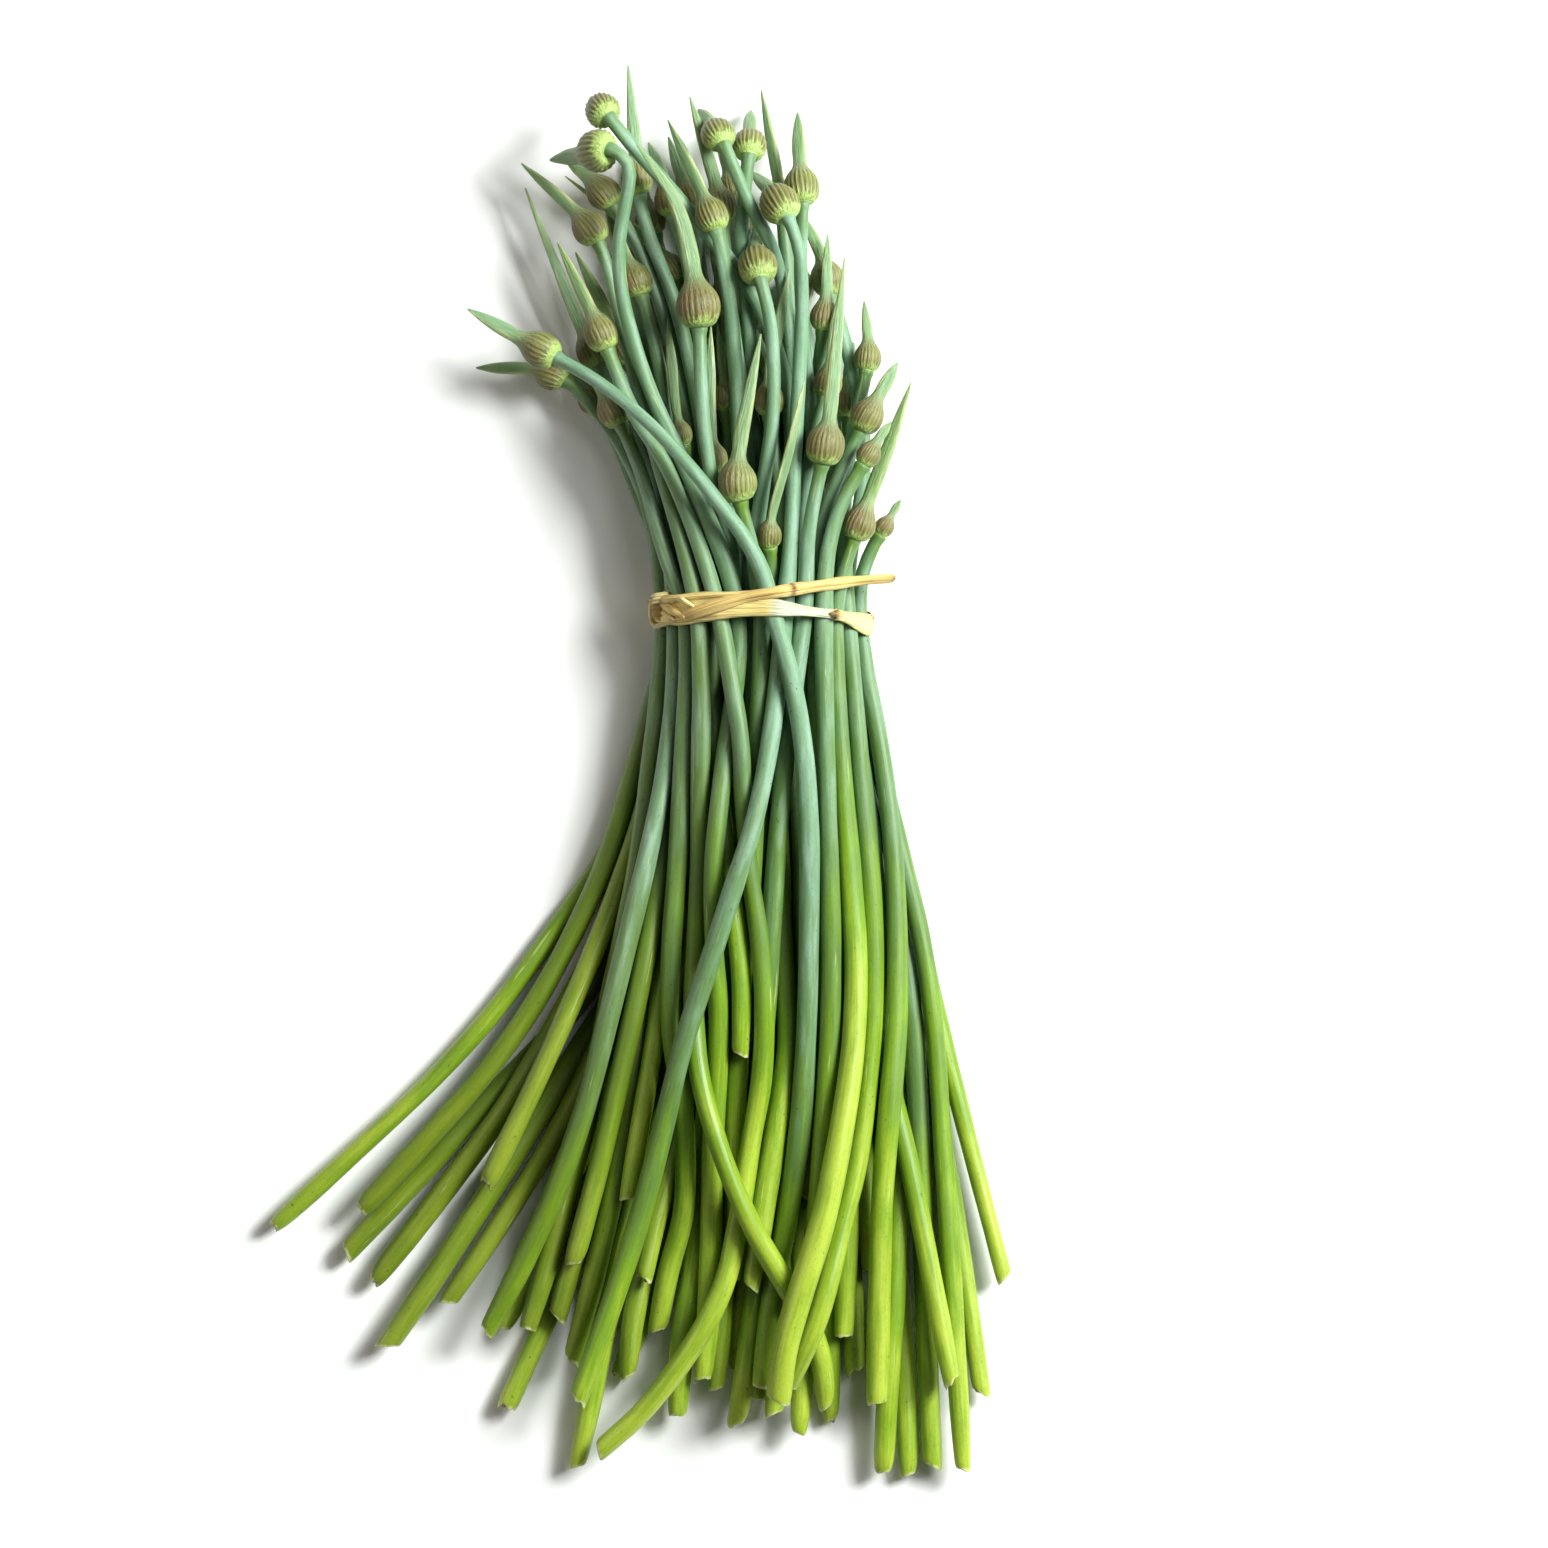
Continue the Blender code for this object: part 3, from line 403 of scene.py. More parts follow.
class Strand:
    """One scape's middle line from its foot to the tip of its beak, with its stem's thickness."""

    def __init__(self, name):
        self.number = int(name.split("_")[1])
        rings = solid_rings(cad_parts[name])[::-1]
        centres = np.array([ring.mean(axis=0) for ring in rings])
        spread = [np.linalg.norm(ring - centre, axis=1).max() for ring, centre in zip(rings, centres)]
        places = lengths_along(centres)
        neck, bud_foot, bud_top = -8, -7, -3
        self.bud = (places[bud_top] - places[bud_foot]) / (SOLID_BUD_TOP - SOLID_BUD_FOOT)
        self.middle = places[bud_top] - SOLID_BUD_TOP * self.bud
        self.neck, self.length = places[neck], places[-1]
        self.places, self.centres = places, centres
        self.beak_radius = spread[-2] / FACET_SWELL
        stem = slice(1, len(rings) + neck + 1)
        self.stem_places = np.concatenate([[0.0], places[stem]])
        self.stem_radii = np.concatenate([[spread[1]], np.array(spread[stem])]) / FACET_SWELL
        self.cut = np.linalg.svd(rings[0] - centres[0])[2][2]
        if self.cut.dot(centres[1] - centres[0]) < 0.0:
            self.cut = -self.cut
        crossing = np.interp(TIE[1], centres[:neck, 1], centres[:neck, 0]) - TIE[0]
        # How much painted shade a stem gets for crossing the tie on its left-hand side.
        self.left_of_tie = TIE_LEFT_PAINTED_SHADE * float(1.0 - eased(crossing, -22.0, -8.0))
        self.dice = dice = np.random.default_rng(FIRST_SEED + self.number)
        self.taper = dice.uniform(*TAPERS)
        self.fraying = dice.choice(FRAYINGS)
        self.roundness = dice.uniform(0.0, 1.0)
        self.beak_half_width = dice.uniform(*BEAK_HALF_WIDTHS)
        spare_tint = dice.uniform(*SPARE_TINTS)
        self.nodding = self.number in NODDING
        self.brown = dice.uniform(*(NODDING_BROWNS if self.nodding else BROWNS))
        self.tint = TINTS.get(self.number, spare_tint)

    def line(self, at):
        """The middle line at these places, with its tight bends eased."""
        at = np.asarray(at, dtype=float)
        step = np.clip(np.minimum(at, self.length - at), 0.0, BEND_EASE)
        before, here, after = (smooth_points(at + shift, self.places, self.centres)
                               for shift in (-step, 0.0, step))
        return 0.25 * before + 0.5 * here + 0.25 * after

    def radius(self, at):
        """The stem's radius, drawn in a little towards the foot."""
        drawn_in = self.taper * (1.0 - np.clip(np.asarray(at) / FOOT_TAPER, 0.0, 1.0)) ** 1.5
        return np.interp(at, self.stem_places, self.stem_radii) * (1.0 - drawn_in)


def stem_waves(strand, along, settings):
    """Slow swellings along a stem, as shares of its radius, and how oval it is, with the oval's turn."""
    waves = np.zeros_like(along)
    for length in WAVE_LENGTHS:
        waves += strand.dice.uniform(0.3, 1.0) * np.sin(TURN * (along / length + strand.dice.random()))
    waves *= settings.unevenness / 2.2
    oval = 0.05 * np.sin(TURN * (along / 130.0 + strand.dice.random())) + 0.03
    turn = strand.dice.uniform(0.0, TURN) + along / 90.0
    return waves, oval, turn


def ripeness_of(strand, along):
    """0 where the skin is blue-green, near the head, to 1 where it is lime, at the foot."""
    tint = strand.tint
    if tint > 0.0:
        tint = tint * (1.0 - 0.8 * eased(along, 110.0, 260.0))
    return np.interp(along, *RIPENESS) + tint * eased(along, -60.0, 140.0)


def add_foot(skin, strand, sides, first_side):
    """The end of the stem: sheared to the slant of the cut, blunted at its rim, and closed by cut flesh."""
    blunt = strand.number in BLUNT_FEET
    angles = angles_round(sides)
    ripe = ripeness_of(strand, 0.0)
    heading = headings_of(strand.line([0.0, 1.0, 2.0]))[0]
    slope = heading + (strand.cut / max(strand.cut.dot(heading), 0.3) - heading) * CUT_SHARE
    steep = math.sqrt(max(slope.dot(slope) - 1.0, 0.0))
    reach = max(6.0 if blunt else 3.0, 1.6 * steep * strand.radius(0.0))
    stations = np.array(FOOT_RINGS) * reach
    rim = 0.6 if blunt else 0.86
    side, up = (found[0] for found in carried_frames([heading], first_side))
    out = spokes(angles, side, up)
    ragged = strand.dice.normal(0.0, strand.fraying, sides)
    ragged += np.roll(ragged, 1)
    rings = []
    for place, centre in zip(stations, strand.line(stations)):
        share = place / reach
        radius = strand.radius(place) * (rim + (1.0 - rim) * math.sqrt(1.0 - (1.0 - share) ** 2))
        shear = -(out @ slope) * radius * (1.0 - share) + ragged * (1.0 - share) ** 3
        points = centre + out * radius + np.outer(shear, heading)
        rings.append(skin.ring(points, **stem_values(strand, angles, radius, place, ripe)))
    inner = rings[0]
    rim_points = np.array([skin.points[k] for k in inner])
    centre = rim_points.mean(axis=0)
    for share, dent in CUT_RINGS:
        bumps = strand.dice.normal(0.0, 0.12, sides)
        points = centre + (rim_points - centre) * share + np.outer(dent + bumps, heading)
        ring = skin.ring(points, **stem_values(strand, angles, share * strand.radius(0.0), 0.0, ripe))
        skin.join(ring, inner, CUT)
        inner = ring
    skin.close(inner, centre + heading * 0.3, CUT, True, **stem_values(strand, np.zeros(1), 0.0, 0.0, ripe))
    skin.join_all(rings, STEM)
    return rings[-1], reach


def stem_values(strand, angles, radius, along, ripe, bulge=-9.0, rib=0.5, edge=0.0, browned_and_shaded=0.0):
    """What the materials read at a ring: the straightened place, the ripeness and the bud's own values."""
    return {
        "round_x": np.cos(angles) * radius + strand.number * 31.0,
        "round_y": np.sin(angles) * radius,
        "along": along,
        "ripeness": ripe,
        # Painted shade: a darker, duller green towards the foot. It is strongest on the scapes at the left of the
        # fan and slight on all others, and also lies along the stems at the left of the tie.
        "olive_shade": float(PAINTED_SHADE_BY_SCAPE.get(strand.number, 0.08) * (1.0 - eased(along, 60.0, 230.0))
                       + strand.left_of_tie * eased(along, 90.0, 230.0)),
        "bulge": bulge,
        "rib": rib,
        "edge": edge,
        "browned_and_shaded": browned_and_shaded,
    }


def scape_piece(strand, settings, materials):
    """One scape as a closed skin from its cut foot to the tip of its beak."""
    skin = Skin()
    first_side = strand.dice.normal(size=3)
    last, reach = add_foot(skin, strand, settings.ribs, first_side)
    last, side = add_stem(skin, strand, settings, last, reach, first_side)
    add_head(skin, strand, settings, last, side)
    return skin.piece(f"garlic_scape_{strand.number:02d}", materials)


def add_stem(skin, strand, settings, last, start, first_side):
    """Rings from the foot to the neck, with the small collar under the bud."""
    count = max(8, int((strand.neck - start) / (settings.ring_spacing / MM)))
    stations = np.linspace(start, strand.neck, count + 1)[1:]
    stations = np.concatenate([stations[:-1], strand.neck - np.array(COLLAR_RINGS)])
    stations = np.unique(stations[stations > start + 0.3])
    waves, oval, turn = stem_waves(strand, stations, settings)
    calm = eased(stations, start, start + 12.0)
    collar = 1.0 + 0.2 * eased(stations, strand.neck - 2.6, strand.neck - 0.6)
    radii = strand.radius(stations) * (1.0 + waves * calm) * collar
    line = strand.line(stations)
    sides, ups = carried_frames(headings_of(line), first_side)
    ripe = ripeness_of(strand, stations) + 0.24 * eased(stations, strand.neck - 14.0, strand.neck)
    angles = angles_round(settings.ribs)
    for k, at in enumerate(stations):
        radius = radii[k] * (1.0 + oval[k] * calm[k] * np.cos(2.0 * (angles - turn[k])))
        points = line[k] + spokes(angles, sides[k], ups[k]) * radius[:, None]
        ring = skin.ring(points, **stem_values(strand, angles, radii[k], at, ripe[k]))
        skin.join(last, ring, STEM)
        last = ring
    return last, sides[-1]


def head_outline(strand, places):
    """Radius at each place along the head, in mm: the bud's outline and then the beak's taper."""
    radii = np.array(BUD_RADII) * (1.0 - strand.roundness) + np.array(ROUND_RADII) * strand.roundness
    bud = smooth_values(places, BUD_PLACES, radii)
    end = (strand.length - strand.middle) / strand.bud
    half = (SOLID_BUD_TOP + end) / 2.0
    knots = (SOLID_BUD_TOP, (SOLID_BUD_TOP * 2.0 + end) / 3.0, half, (half + end) / 2.0, end)
    middle = max(strand.beak_radius, strand.beak_half_width) / strand.bud
    taper = (radii[-1], (radii[-1] + middle) / 2.0, middle, middle * 0.66, 0.04)
    beak = smooth_values(places, knots, taper)
    return strand.bud * np.where(places < SOLID_BUD_TOP, bud, beak)


def add_head(skin, strand, settings, last, first_side):
    """The ribbed bud and its beak."""
    ribs, nodding, dice = settings.ribs, strand.nodding, strand.dice
    end = (strand.length - strand.middle) / strand.bud
    bud_places = np.concatenate([[-1.0, -0.96], np.linspace(-0.9, SOLID_BUD_TOP, BUD_RINGS)])
    beak_count = max(10, int((end - SOLID_BUD_TOP) * strand.bud / BEAK_STEP))
    beak_places = np.linspace(SOLID_BUD_TOP, end, beak_count + 1)[1:-1]
    places = np.concatenate([bud_places, beak_places, [end - 0.03]])
    radii = head_outline(strand, places)
    along = strand.middle + places * strand.bud
    line = strand.line(np.append(along, strand.length))
    headings = headings_of(line)
    sides, ups = carried_frames(headings, first_side)
    flat = settings.flatness * eased(places, 0.9, 2.4)
    beak = eased(places, 1.2, 2.2)
    rib_share = settings.rib_depth * eased(places, -0.98, -0.6) * (1.0 - eased(places, 0.35, 1.4))
    rib_share *= 1.0 if nodding else 0.75
    drift = dice.uniform(0.0, TURN, 4)
    lean = dice.uniform(-0.12, 0.12)
    level = np.cross(headings[:-1], UPWARD)
    spin = np.arctan2((level * ups[:-1]).sum(axis=1), (level * sides[:-1]).sum(axis=1))
    spin = np.unwrap(spin) + dice.normal(0.0, 0.35)
    irregular = 0.25 if nodding else 0.75
    streak = dice.uniform(0.25, 1.0, ribs)
    ripe = HEAD_RIPENESS + strand.tint
    for k, place in enumerate(places):
        angles = angles_round(ribs * POINTS_PER_RIB if place < SOLID_BUD_TOP - 0.01 else ribs)
        wander = 0.05 * np.sin(2 * angles + drift[0]) + 0.035 * np.sin(3 * angles + drift[1] + place)
        phase = ribs * (angles + irregular * wander + lean * (place - 1.0) * 0.4)
        crest = 0.5 + 0.5 * np.cos(phase)
        strength = 1.0 - irregular + irregular * streak[(np.round(phase / TURN).astype(int)) % ribs]
        lumps = 0.02 * np.sin(2 * angles + drift[2] + place) + 0.012 * np.sin(5 * angles + drift[3] - place)
        fold = np.abs(np.cos(angles - spin[k])) ** 6
        outline = (1.0 - rib_share[k] * strength * (1.0 - crest) + lumps * eased(place, -0.9, 0.0))
        flatten = 1.0 - flat[k] * np.sin(angles - spin[k]) ** 2 + 0.15 * beak[k] * fold
        out = spokes(angles, sides[k], ups[k])
        # Painted shade: the side of each bud away from the key light, mostly its left, is browner and darker. Each
        # head's own browning is added on top.
        browned_and_shaded = eased(-out[:, 0] * 0.9 + 0.25 * out[:, 1] + 0.25 * np.sin(3 * angles + drift[2]), -0.5, 0.9)
        browned_and_shaded = np.minimum(browned_and_shaded * (0.35 if nodding else 0.75) + strand.brown, 1.0)
        rib = 0.5 + (crest * strength - 0.5) * (1.0 if nodding else 0.7)
        ring = skin.ring(line[k] + out * (radii[k] * outline * flatten)[:, None],
                         **stem_values(strand, angles, radii[k], along[k], ripe, place, rib, fold, browned_and_shaded))
        skin.join(last, ring, HEAD)
        last = ring
    tip = stem_values(strand, np.zeros(1), 0.0, strand.length, ripe, end, 0.5, 1.0)
    skin.close(last, line[-1], HEAD, False, **tip)


# Raffia

# How far to each side of its middle line the band has stems under it, how far the loose strands may, and the
# band's lowest point, in mm.
BAND_REACH = 5.5
BUNDLE_REACH = 22.0
LOWEST = 0.62

# Facets and points of a turn of the band, and points to each side over which its course is evened.
FACETS = 144
TURN_POINTS = 240
EVENED_BY = 4

# Step between points of a loose strand, in mm, and fibres across any strand.
STRAND_STEP = 0.7
FIBRES = 15


def tie_lean(x):
    """The band sits a little lower towards its right-hand end. From the tie's middle, in mm."""
    return -1.6 - 0.075 * x


class Bundle:
    """The stems where they are tied, as the discs that a band has to go round."""

    def __init__(self, strands):
        points, radii = [], []
        for strand in strands:
            at = np.arange(0.0, strand.neck, 1.0)
            line = strand.line(at) - TIE
            near = np.abs(line[:, 1]) < BUNDLE_REACH
            points.append(line[near])
            radii.append(strand.radius(at[near]))
        self.points, self.radii = np.concatenate(points), np.concatenate(radii)

    def turn(self, gap):
        """A tight closed turn round the stems under the band, evenly spaced from its left-hand end."""
        near = np.abs(self.points[:, 1] - tie_lean(self.points[:, 0])) < BAND_REACH
        angles = angles_round(FACETS)
        step = TURN / FACETS
        out = spokes(angles, self.points[near, 0], self.points[near, 2]) + self.radii[near]
        reach = out.max(axis=1) + gap
        after = np.roll(reach, -1)
        corner_x = (reach * np.sin(angles + step) - after * np.sin(angles)) / math.sin(step)
        corner_z = (after * np.cos(angles) - reach * np.cos(angles + step)) / math.sin(step)
        corners = np.stack([corner_x, np.maximum(corner_z, LOWEST)], axis=1)
        corners = np.roll(corners, -int(np.argmin(corner_x)), axis=0)
        closed = np.vstack([corners, corners[:1]])
        places = lengths_along(closed)
        at = np.linspace(0.0, places[-1], TURN_POINTS, endpoint=False)
        return np.stack([np.interp(at, places, closed[:, axis]) for axis in range(2)], axis=1)

    def top(self, x, y, half):
        """Height of the highest stem near a spot."""
        near = (np.abs(self.points[:, 0] - x) < half + self.radii) & (np.abs(self.points[:, 1] - y) < half)
        return (self.points[near, 2] + self.radii[near]).max() if near.any() else 0.0


class Crown:
    """The upper side of the wound bunch, on which the loose strands lie."""

    def __init__(self, bundle, settings):
        self.bundle = bundle
        self.slack = settings.slack / MM
        loop = bundle.turn(self.slack)
        upper = loop[loop[:, 1] > np.median(loop[:, 1])]
        self.outline = upper[np.argsort(upper[:, 0])]
        self.right = loop[:, 0].max()

    def height(self, x, y):
        """Height of the band or of the highest stem at a spot."""
        band = np.interp(x, self.outline[:, 0], self.outline[:, 1])
        return max(band, self.bundle.top(x, y, 1.5) + self.slack)

    def strand(self, route, outward=UPWARD):
        """A line over the crown through (x, y, height above it), as strand_through gives it."""
        return strand_through(np.array([(x, y, self.height(x, y) + above) for x, y, above in route]), outward)


def strand_through(knots, outward=UPWARD):
    """A smooth line through points: lengths along it, its points, and the directions across and out of it."""
    places = lengths_along(knots)
    at = np.linspace(0.0, places[-1], max(8, int(places[-1] / STRAND_STEP)))
    line = smooth_points(at, places, knots)
    headings = headings_of(line)
    across = unit(np.cross(outward, headings))
    return at, line, across, np.cross(headings, across)


def spread_along(at, values):
    """Values at even shares of a line, read at every place on it."""
    return np.interp(at / at[-1], np.linspace(0.0, 1.0, len(values)), values)


def add_ribbon(skin, dice, line, across, out, widths, thickness, closed=False, fold=0.0, golden=0.0,
               marks=(), pale=0.0):
    """A strip of leaf along a line: fibres run along it, and its edges curl in towards the stems."""
    shares = np.linspace(-0.5, 0.5, FIBRES)
    ridge = dice.normal(0.0, 0.09, FIBRES)
    along = lengths_along(line)
    pale = np.broadcast_to(pale, along.shape)
    wander = dice.uniform(0.0, TURN, 3)
    offset = dice.uniform(0.0, 900.0)
    rings = []
    for k, at in enumerate(along):
        ripple = ridge + 0.06 * np.sin(shares * 31.0 + wander[0] + at * 0.11)
        crease = 0.25 * math.sin(at * 0.05 + wander[1])
        crown = -0.35 * (2.0 * shares) ** 4 + fold * (0.5 - np.abs(2.0 * shares - crease))
        edge = 0.25 * math.sin(at * 0.35 + wander[2])
        thick = thickness * (1.0 - 0.7 * (2.0 * np.abs(shares)) ** 6)
        upper = ripple + crown + thick / 2.0
        lower = 0.4 * ripple + crown - thick / 2.0
        places = np.concatenate([shares, shares[::-1]])
        heights = np.concatenate([upper, lower[::-1]])
        spread = places * widths[k] + edge * np.abs(2.0 * places) ** 3 * np.sign(places) * 0.5
        points = line[k] + np.outer(spread, across[k]) + np.outer(heights, out[k])
        brown = max((math.exp(-((at - place) / size) ** 2) for place, size in marks), default=0.0)
        rings.append(skin.ring(points, round_x=spread, round_y=heights, along=at + offset, golden=golden,
                               mark=brown, pale=pale[k]))
    skin.join_all(rings)
    if closed:
        skin.join(rings[-1], rings[0])
    else:
        close_ends(skin, rings[0], rings[-1])


def close_ends(skin, first, last):
    """Closes both ends of a strip with one narrow face per pair of fibres."""
    for ring, flip in ((first, True), (last, False)):
        upper, lower = ring[:FIBRES], ring[FIBRES:][::-1]
        for k in range(FIBRES - 1):
            skin.face((upper[k], upper[k + 1], lower[k + 1], lower[k]), 0, flip)


def evened(values):
    """Values round a closed turn, each the mean of itself and its near neighbours."""
    wrapped = np.concatenate([values[-EVENED_BY:], values, values[:EVENED_BY]])
    count = 2 * EVENED_BY + 1
    return np.convolve(wrapped, np.ones(count) / count, mode="valid")


def winding(bundle, gap, front, back):
    """A closed turn round the bunch: its line, the directions across and out of it, and its widths.

    The front gives places across the bunch, middle lines and widths, and the back one of each of the two."""
    loop = bundle.turn(gap)
    tangent = unit(np.roll(loop, -1, axis=0) - np.roll(loop, 1, axis=0))
    normal = np.stack([tangent[:, 1], -tangent[:, 0]], axis=1)
    if ((loop - loop.mean(axis=0)) * normal).sum() < 0.0:
        normal = -normal
    x = loop[:, 0]
    above = normal[:, 1] > 0.0
    places, middles, widths = front
    offsets = np.where(above, np.interp(x, places, middles - tie_lean(places)), back[0])
    line = np.stack([x, tie_lean(x) + offsets, loop[:, 1]], axis=1)
    out = np.stack([normal[:, 0], np.zeros(len(x)), normal[:, 1]], axis=1)
    heading = unit(np.roll(line, -1, axis=0) - np.roll(line, 1, axis=0))
    across = unit(np.cross(out, heading))
    line[:, 1] = evened(line[:, 1])
    return line, across, out, evened(np.where(above, np.interp(x, places, widths), back[1]))


def tie_piece(bundle, settings, material):
    """The wound band, a thin upper strand, the loose tail and the knot that holds them."""
    skin, dice = Skin(), np.random.default_rng(RAFFIA_SEED)
    thick = settings.thickness / MM
    crown = Crown(bundle, settings)
    for add in (add_band, add_upper_strand, add_tail, add_lump, add_coil, add_knot_strands):
        add(skin, dice, crown, thick)
    skin.points = list(np.array(skin.points) + TIE)
    return skin.piece("raffia_winding", [material])


# The band's front as it shows from above: place across the bunch, middle line and width, from the tie's
# middle in mm. The brown joint is where it is narrowest. Behind, it is guessed: middle line and width.
BAND_FRONT = (
    (-30.0, -1.5, 7.6), (-24.0, -1.9, 8.4), (-10.0, -0.5, 6.8), (2.7, -0.7, 5.3), (10.0, -1.4, 4.0),
    (20.0, -2.5, 2.2), (22.5, -2.7, 3.1), (25.0, -3.2, 3.3), (30.0, -4.9, 5.6), (34.0, -6.1, 7.0),
)
BAND_BACK = (-0.8, 7.0)
JOINT_X = 22.5
BLEACHED_FROM = 3.0

# The overhand knot's strands: points (across, along, height above the crown) in mm, widths, golden, pale and
# the way out.
AWAY_LEFT = (-0.35, 0.0, 1.0)
KNOT_STRANDS = (
    (((-30.8, 1.4, 0.6), (-31.0, -0.2, 1.6), (-31.0, -2.2, 1.6), (-30.5, -4.2, 0.8)),
     (1.5, 2.2, 2.3, 1.5), 0.6, 0.1, AWAY_LEFT),
    (((-32.9, 2.0, 0.2), (-33.2, -0.4, 0.5), (-33.2, -2.8, 0.5), (-32.5, -4.8, 0.2)),
     (1.4, 1.8, 1.8, 1.3), 0.0, 0.4, AWAY_LEFT),
    (((-33.4, -3.6, 0.3), (-32.4, -5.3, 0.7), (-29.6, -5.6, 1.0), (-26.8, -5.0, 1.1), (-24.0, -4.5, 0.9)),
     (1.0, 1.3, 1.4, 1.3, 0.8), 0.0, 0.4, UPWARD),
    (((-29.9, 0.3, 1.4), (-28.4, -0.3, 2.6), (-26.2, -1.6, 2.8), (-24.2, -2.9, 2.1), (-22.6, -3.9, 1.0)),
     (1.6, 2.5, 2.6, 2.3, 1.4), 0.9, 0.0, UPWARD),
    (((-30.2, -1.9, 1.2), (-28.9, -2.2, 2.2), (-27.3, -3.2, 2.3), (-25.9, -4.2, 1.6), (-25.0, -4.8, 0.8)),
     (1.0, 1.8, 1.9, 1.6, 0.9), 0.7, 0.0, UPWARD),
    (((-26.4, 1.0, 1.2), (-25.0, 1.8, 2.2), (-22.9, 1.2, 2.5), (-20.9, 0.0, 2.0), (-19.4, -1.1, 0.9)),
     (1.2, 1.8, 2.0, 1.7, 0.9), 0.15, 0.15, UPWARD),
)


# The routes of the upper strand and of the loose tail: out of the knot, down over the band, up across it and
# past the right-hand side. The tail's widths follow, at places across the bunch.
UPPER_STRAND = (
    (-30.0, 1.9, 1.5), (-27.0, 2.0, 1.5), (-18.2, 2.8, 1.2), (-12.0, 3.1, 1.2), (-5.0, 3.4, 1.0), (-1.0, 3.5, 0.5),
)
TAIL = (
    (-27.0, -4.2, 0.5), (-25.4, -4.0, 1.2), (-23.6, -3.7, 1.6), (-21.4, -2.9, 1.6), (-16.2, -1.2, 1.4),
    (-5.4, 2.0, 1.5), (5.4, 3.9, 1.6), (16.2, 5.6, 1.1), (27.0, 7.2, 0.9),
)
TAIL_WIDTHS = (
    (-27.0, -25.0, -22.0, -16.0, -5.0, 5.0, 16.0, 27.0, 37.0, 39.3, 40.0, 40.3),
    (1.6, 2.6, 3.7, 4.3, 3.6, 3.6, 3.7, 3.3, 2.9, 2.6, 1.7, 0.7),
)


def add_band(skin, dice, crown, thick):
    """The main winding: broad on the left, pinched at a brown joint on the right, and broad again behind."""
    front = [np.array(values) for values in zip(*BAND_FRONT)]
    line, across, out, widths = winding(crown.bundle, crown.slack + thick, front, BAND_BACK)
    x, along = line[:, 0], lengths_along(line)
    top = line[:, 2] > np.median(line[:, 2])
    joint = along[np.argmin(np.where(top, np.abs(x - JOINT_X), 1e9))]
    pale = eased(x, BLEACHED_FROM - 1.2, BLEACHED_FROM + 1.2) * (
        1.0 - 0.85 * eased(x, JOINT_X - 2.0, JOINT_X + 2.0)) * top
    widths *= 1.0 + 0.12 * np.exp(-((along - joint) / 1.3) ** 2)
    add_ribbon(skin, dice, line, across, out, widths, thick, closed=True, pale=pale,
               marks=((joint - 1.1, 0.45), (joint + 0.9, 0.5)))
    at, line, across, out = crown.strand(
        ((JOINT_X - 1.7, -2.62, 0.55), (JOINT_X, -2.75, 1.0), (JOINT_X + 1.6, -2.95, 0.55)))
    add_ribbon(skin, dice, line, across, out, 1.6 + 1.5 * np.sin(np.pi * (at / at[-1])), 1.1, fold=0.5,
               golden=0.7, marks=((1.6, 1.1),))


def add_upper_strand(skin, dice, crown, thick):
    """The thin strand along the band's upper edge, which slips under the tail."""
    at, *course = crown.strand(UPPER_STRAND)
    add_ribbon(skin, dice, *course, spread_along(at, (2.7, 2.1, 1.5)), thick * 1.4, fold=0.8, golden=0.45)


def add_tail(skin, dice, crown, thick):
    """The loose end, with a brown mark halfway and one at its tip."""
    line = crown.strand(TAIL)[1]
    end = line[-1, 2]
    beyond = [(crown.right + 1.5, 7.9, end - 1.2), (40.3, 8.35, end - 1.9)]
    at, line, across, out = strand_through(np.vstack([line[::4], beyond]))
    mark = at[np.argmin(np.abs(line[:, 0] - 9.8))]
    add_ribbon(skin, dice, line, across, out, np.interp(line[:, 0], *TAIL_WIDTHS), thick * 1.6, fold=0.9,
               golden=0.9, marks=((mark, 1.0), (at[-1], 0.7)))


def add_knot_strands(skin, dice, crown, thick):
    """The strands down the knot's side and the golden twist beside it."""
    for route, widths, golden, pale, outward in KNOT_STRANDS:
        at, *course = crown.strand(route, outward)
        add_ribbon(skin, dice, *course, spread_along(at, widths), thick * 1.6, fold=0.7, golden=golden, pale=pale)


def add_coil(skin, dice, crown, thick):
    """The pale strip turned three times round the others, at the end of the band."""
    centre = np.array([-29.9, 2.4, crown.height(-30.0, 2.5) + 0.9])
    half_width, half_height, pitch = 2.6, 1.6, 3.0
    turns = TURN * np.linspace(-0.2, 2.7, 130)
    reach = (turns - turns[0]) / (turns[-1] - turns[0]) - 0.5
    cos, sin = np.cos(turns), np.sin(turns)
    course = [half_width * cos, -pitch * reach + 0.12 * half_width * cos, half_height * sin]
    line = centre + np.stack(course, axis=1)
    out = unit(np.stack([cos / half_width, np.zeros_like(turns), sin / half_height], axis=1))
    across = unit(np.cross(out, headings_of(line)))
    add_ribbon(skin, dice, line, across, out, np.full(len(line), 1.3), thick * 1.4, fold=0.45, pale=0.35)


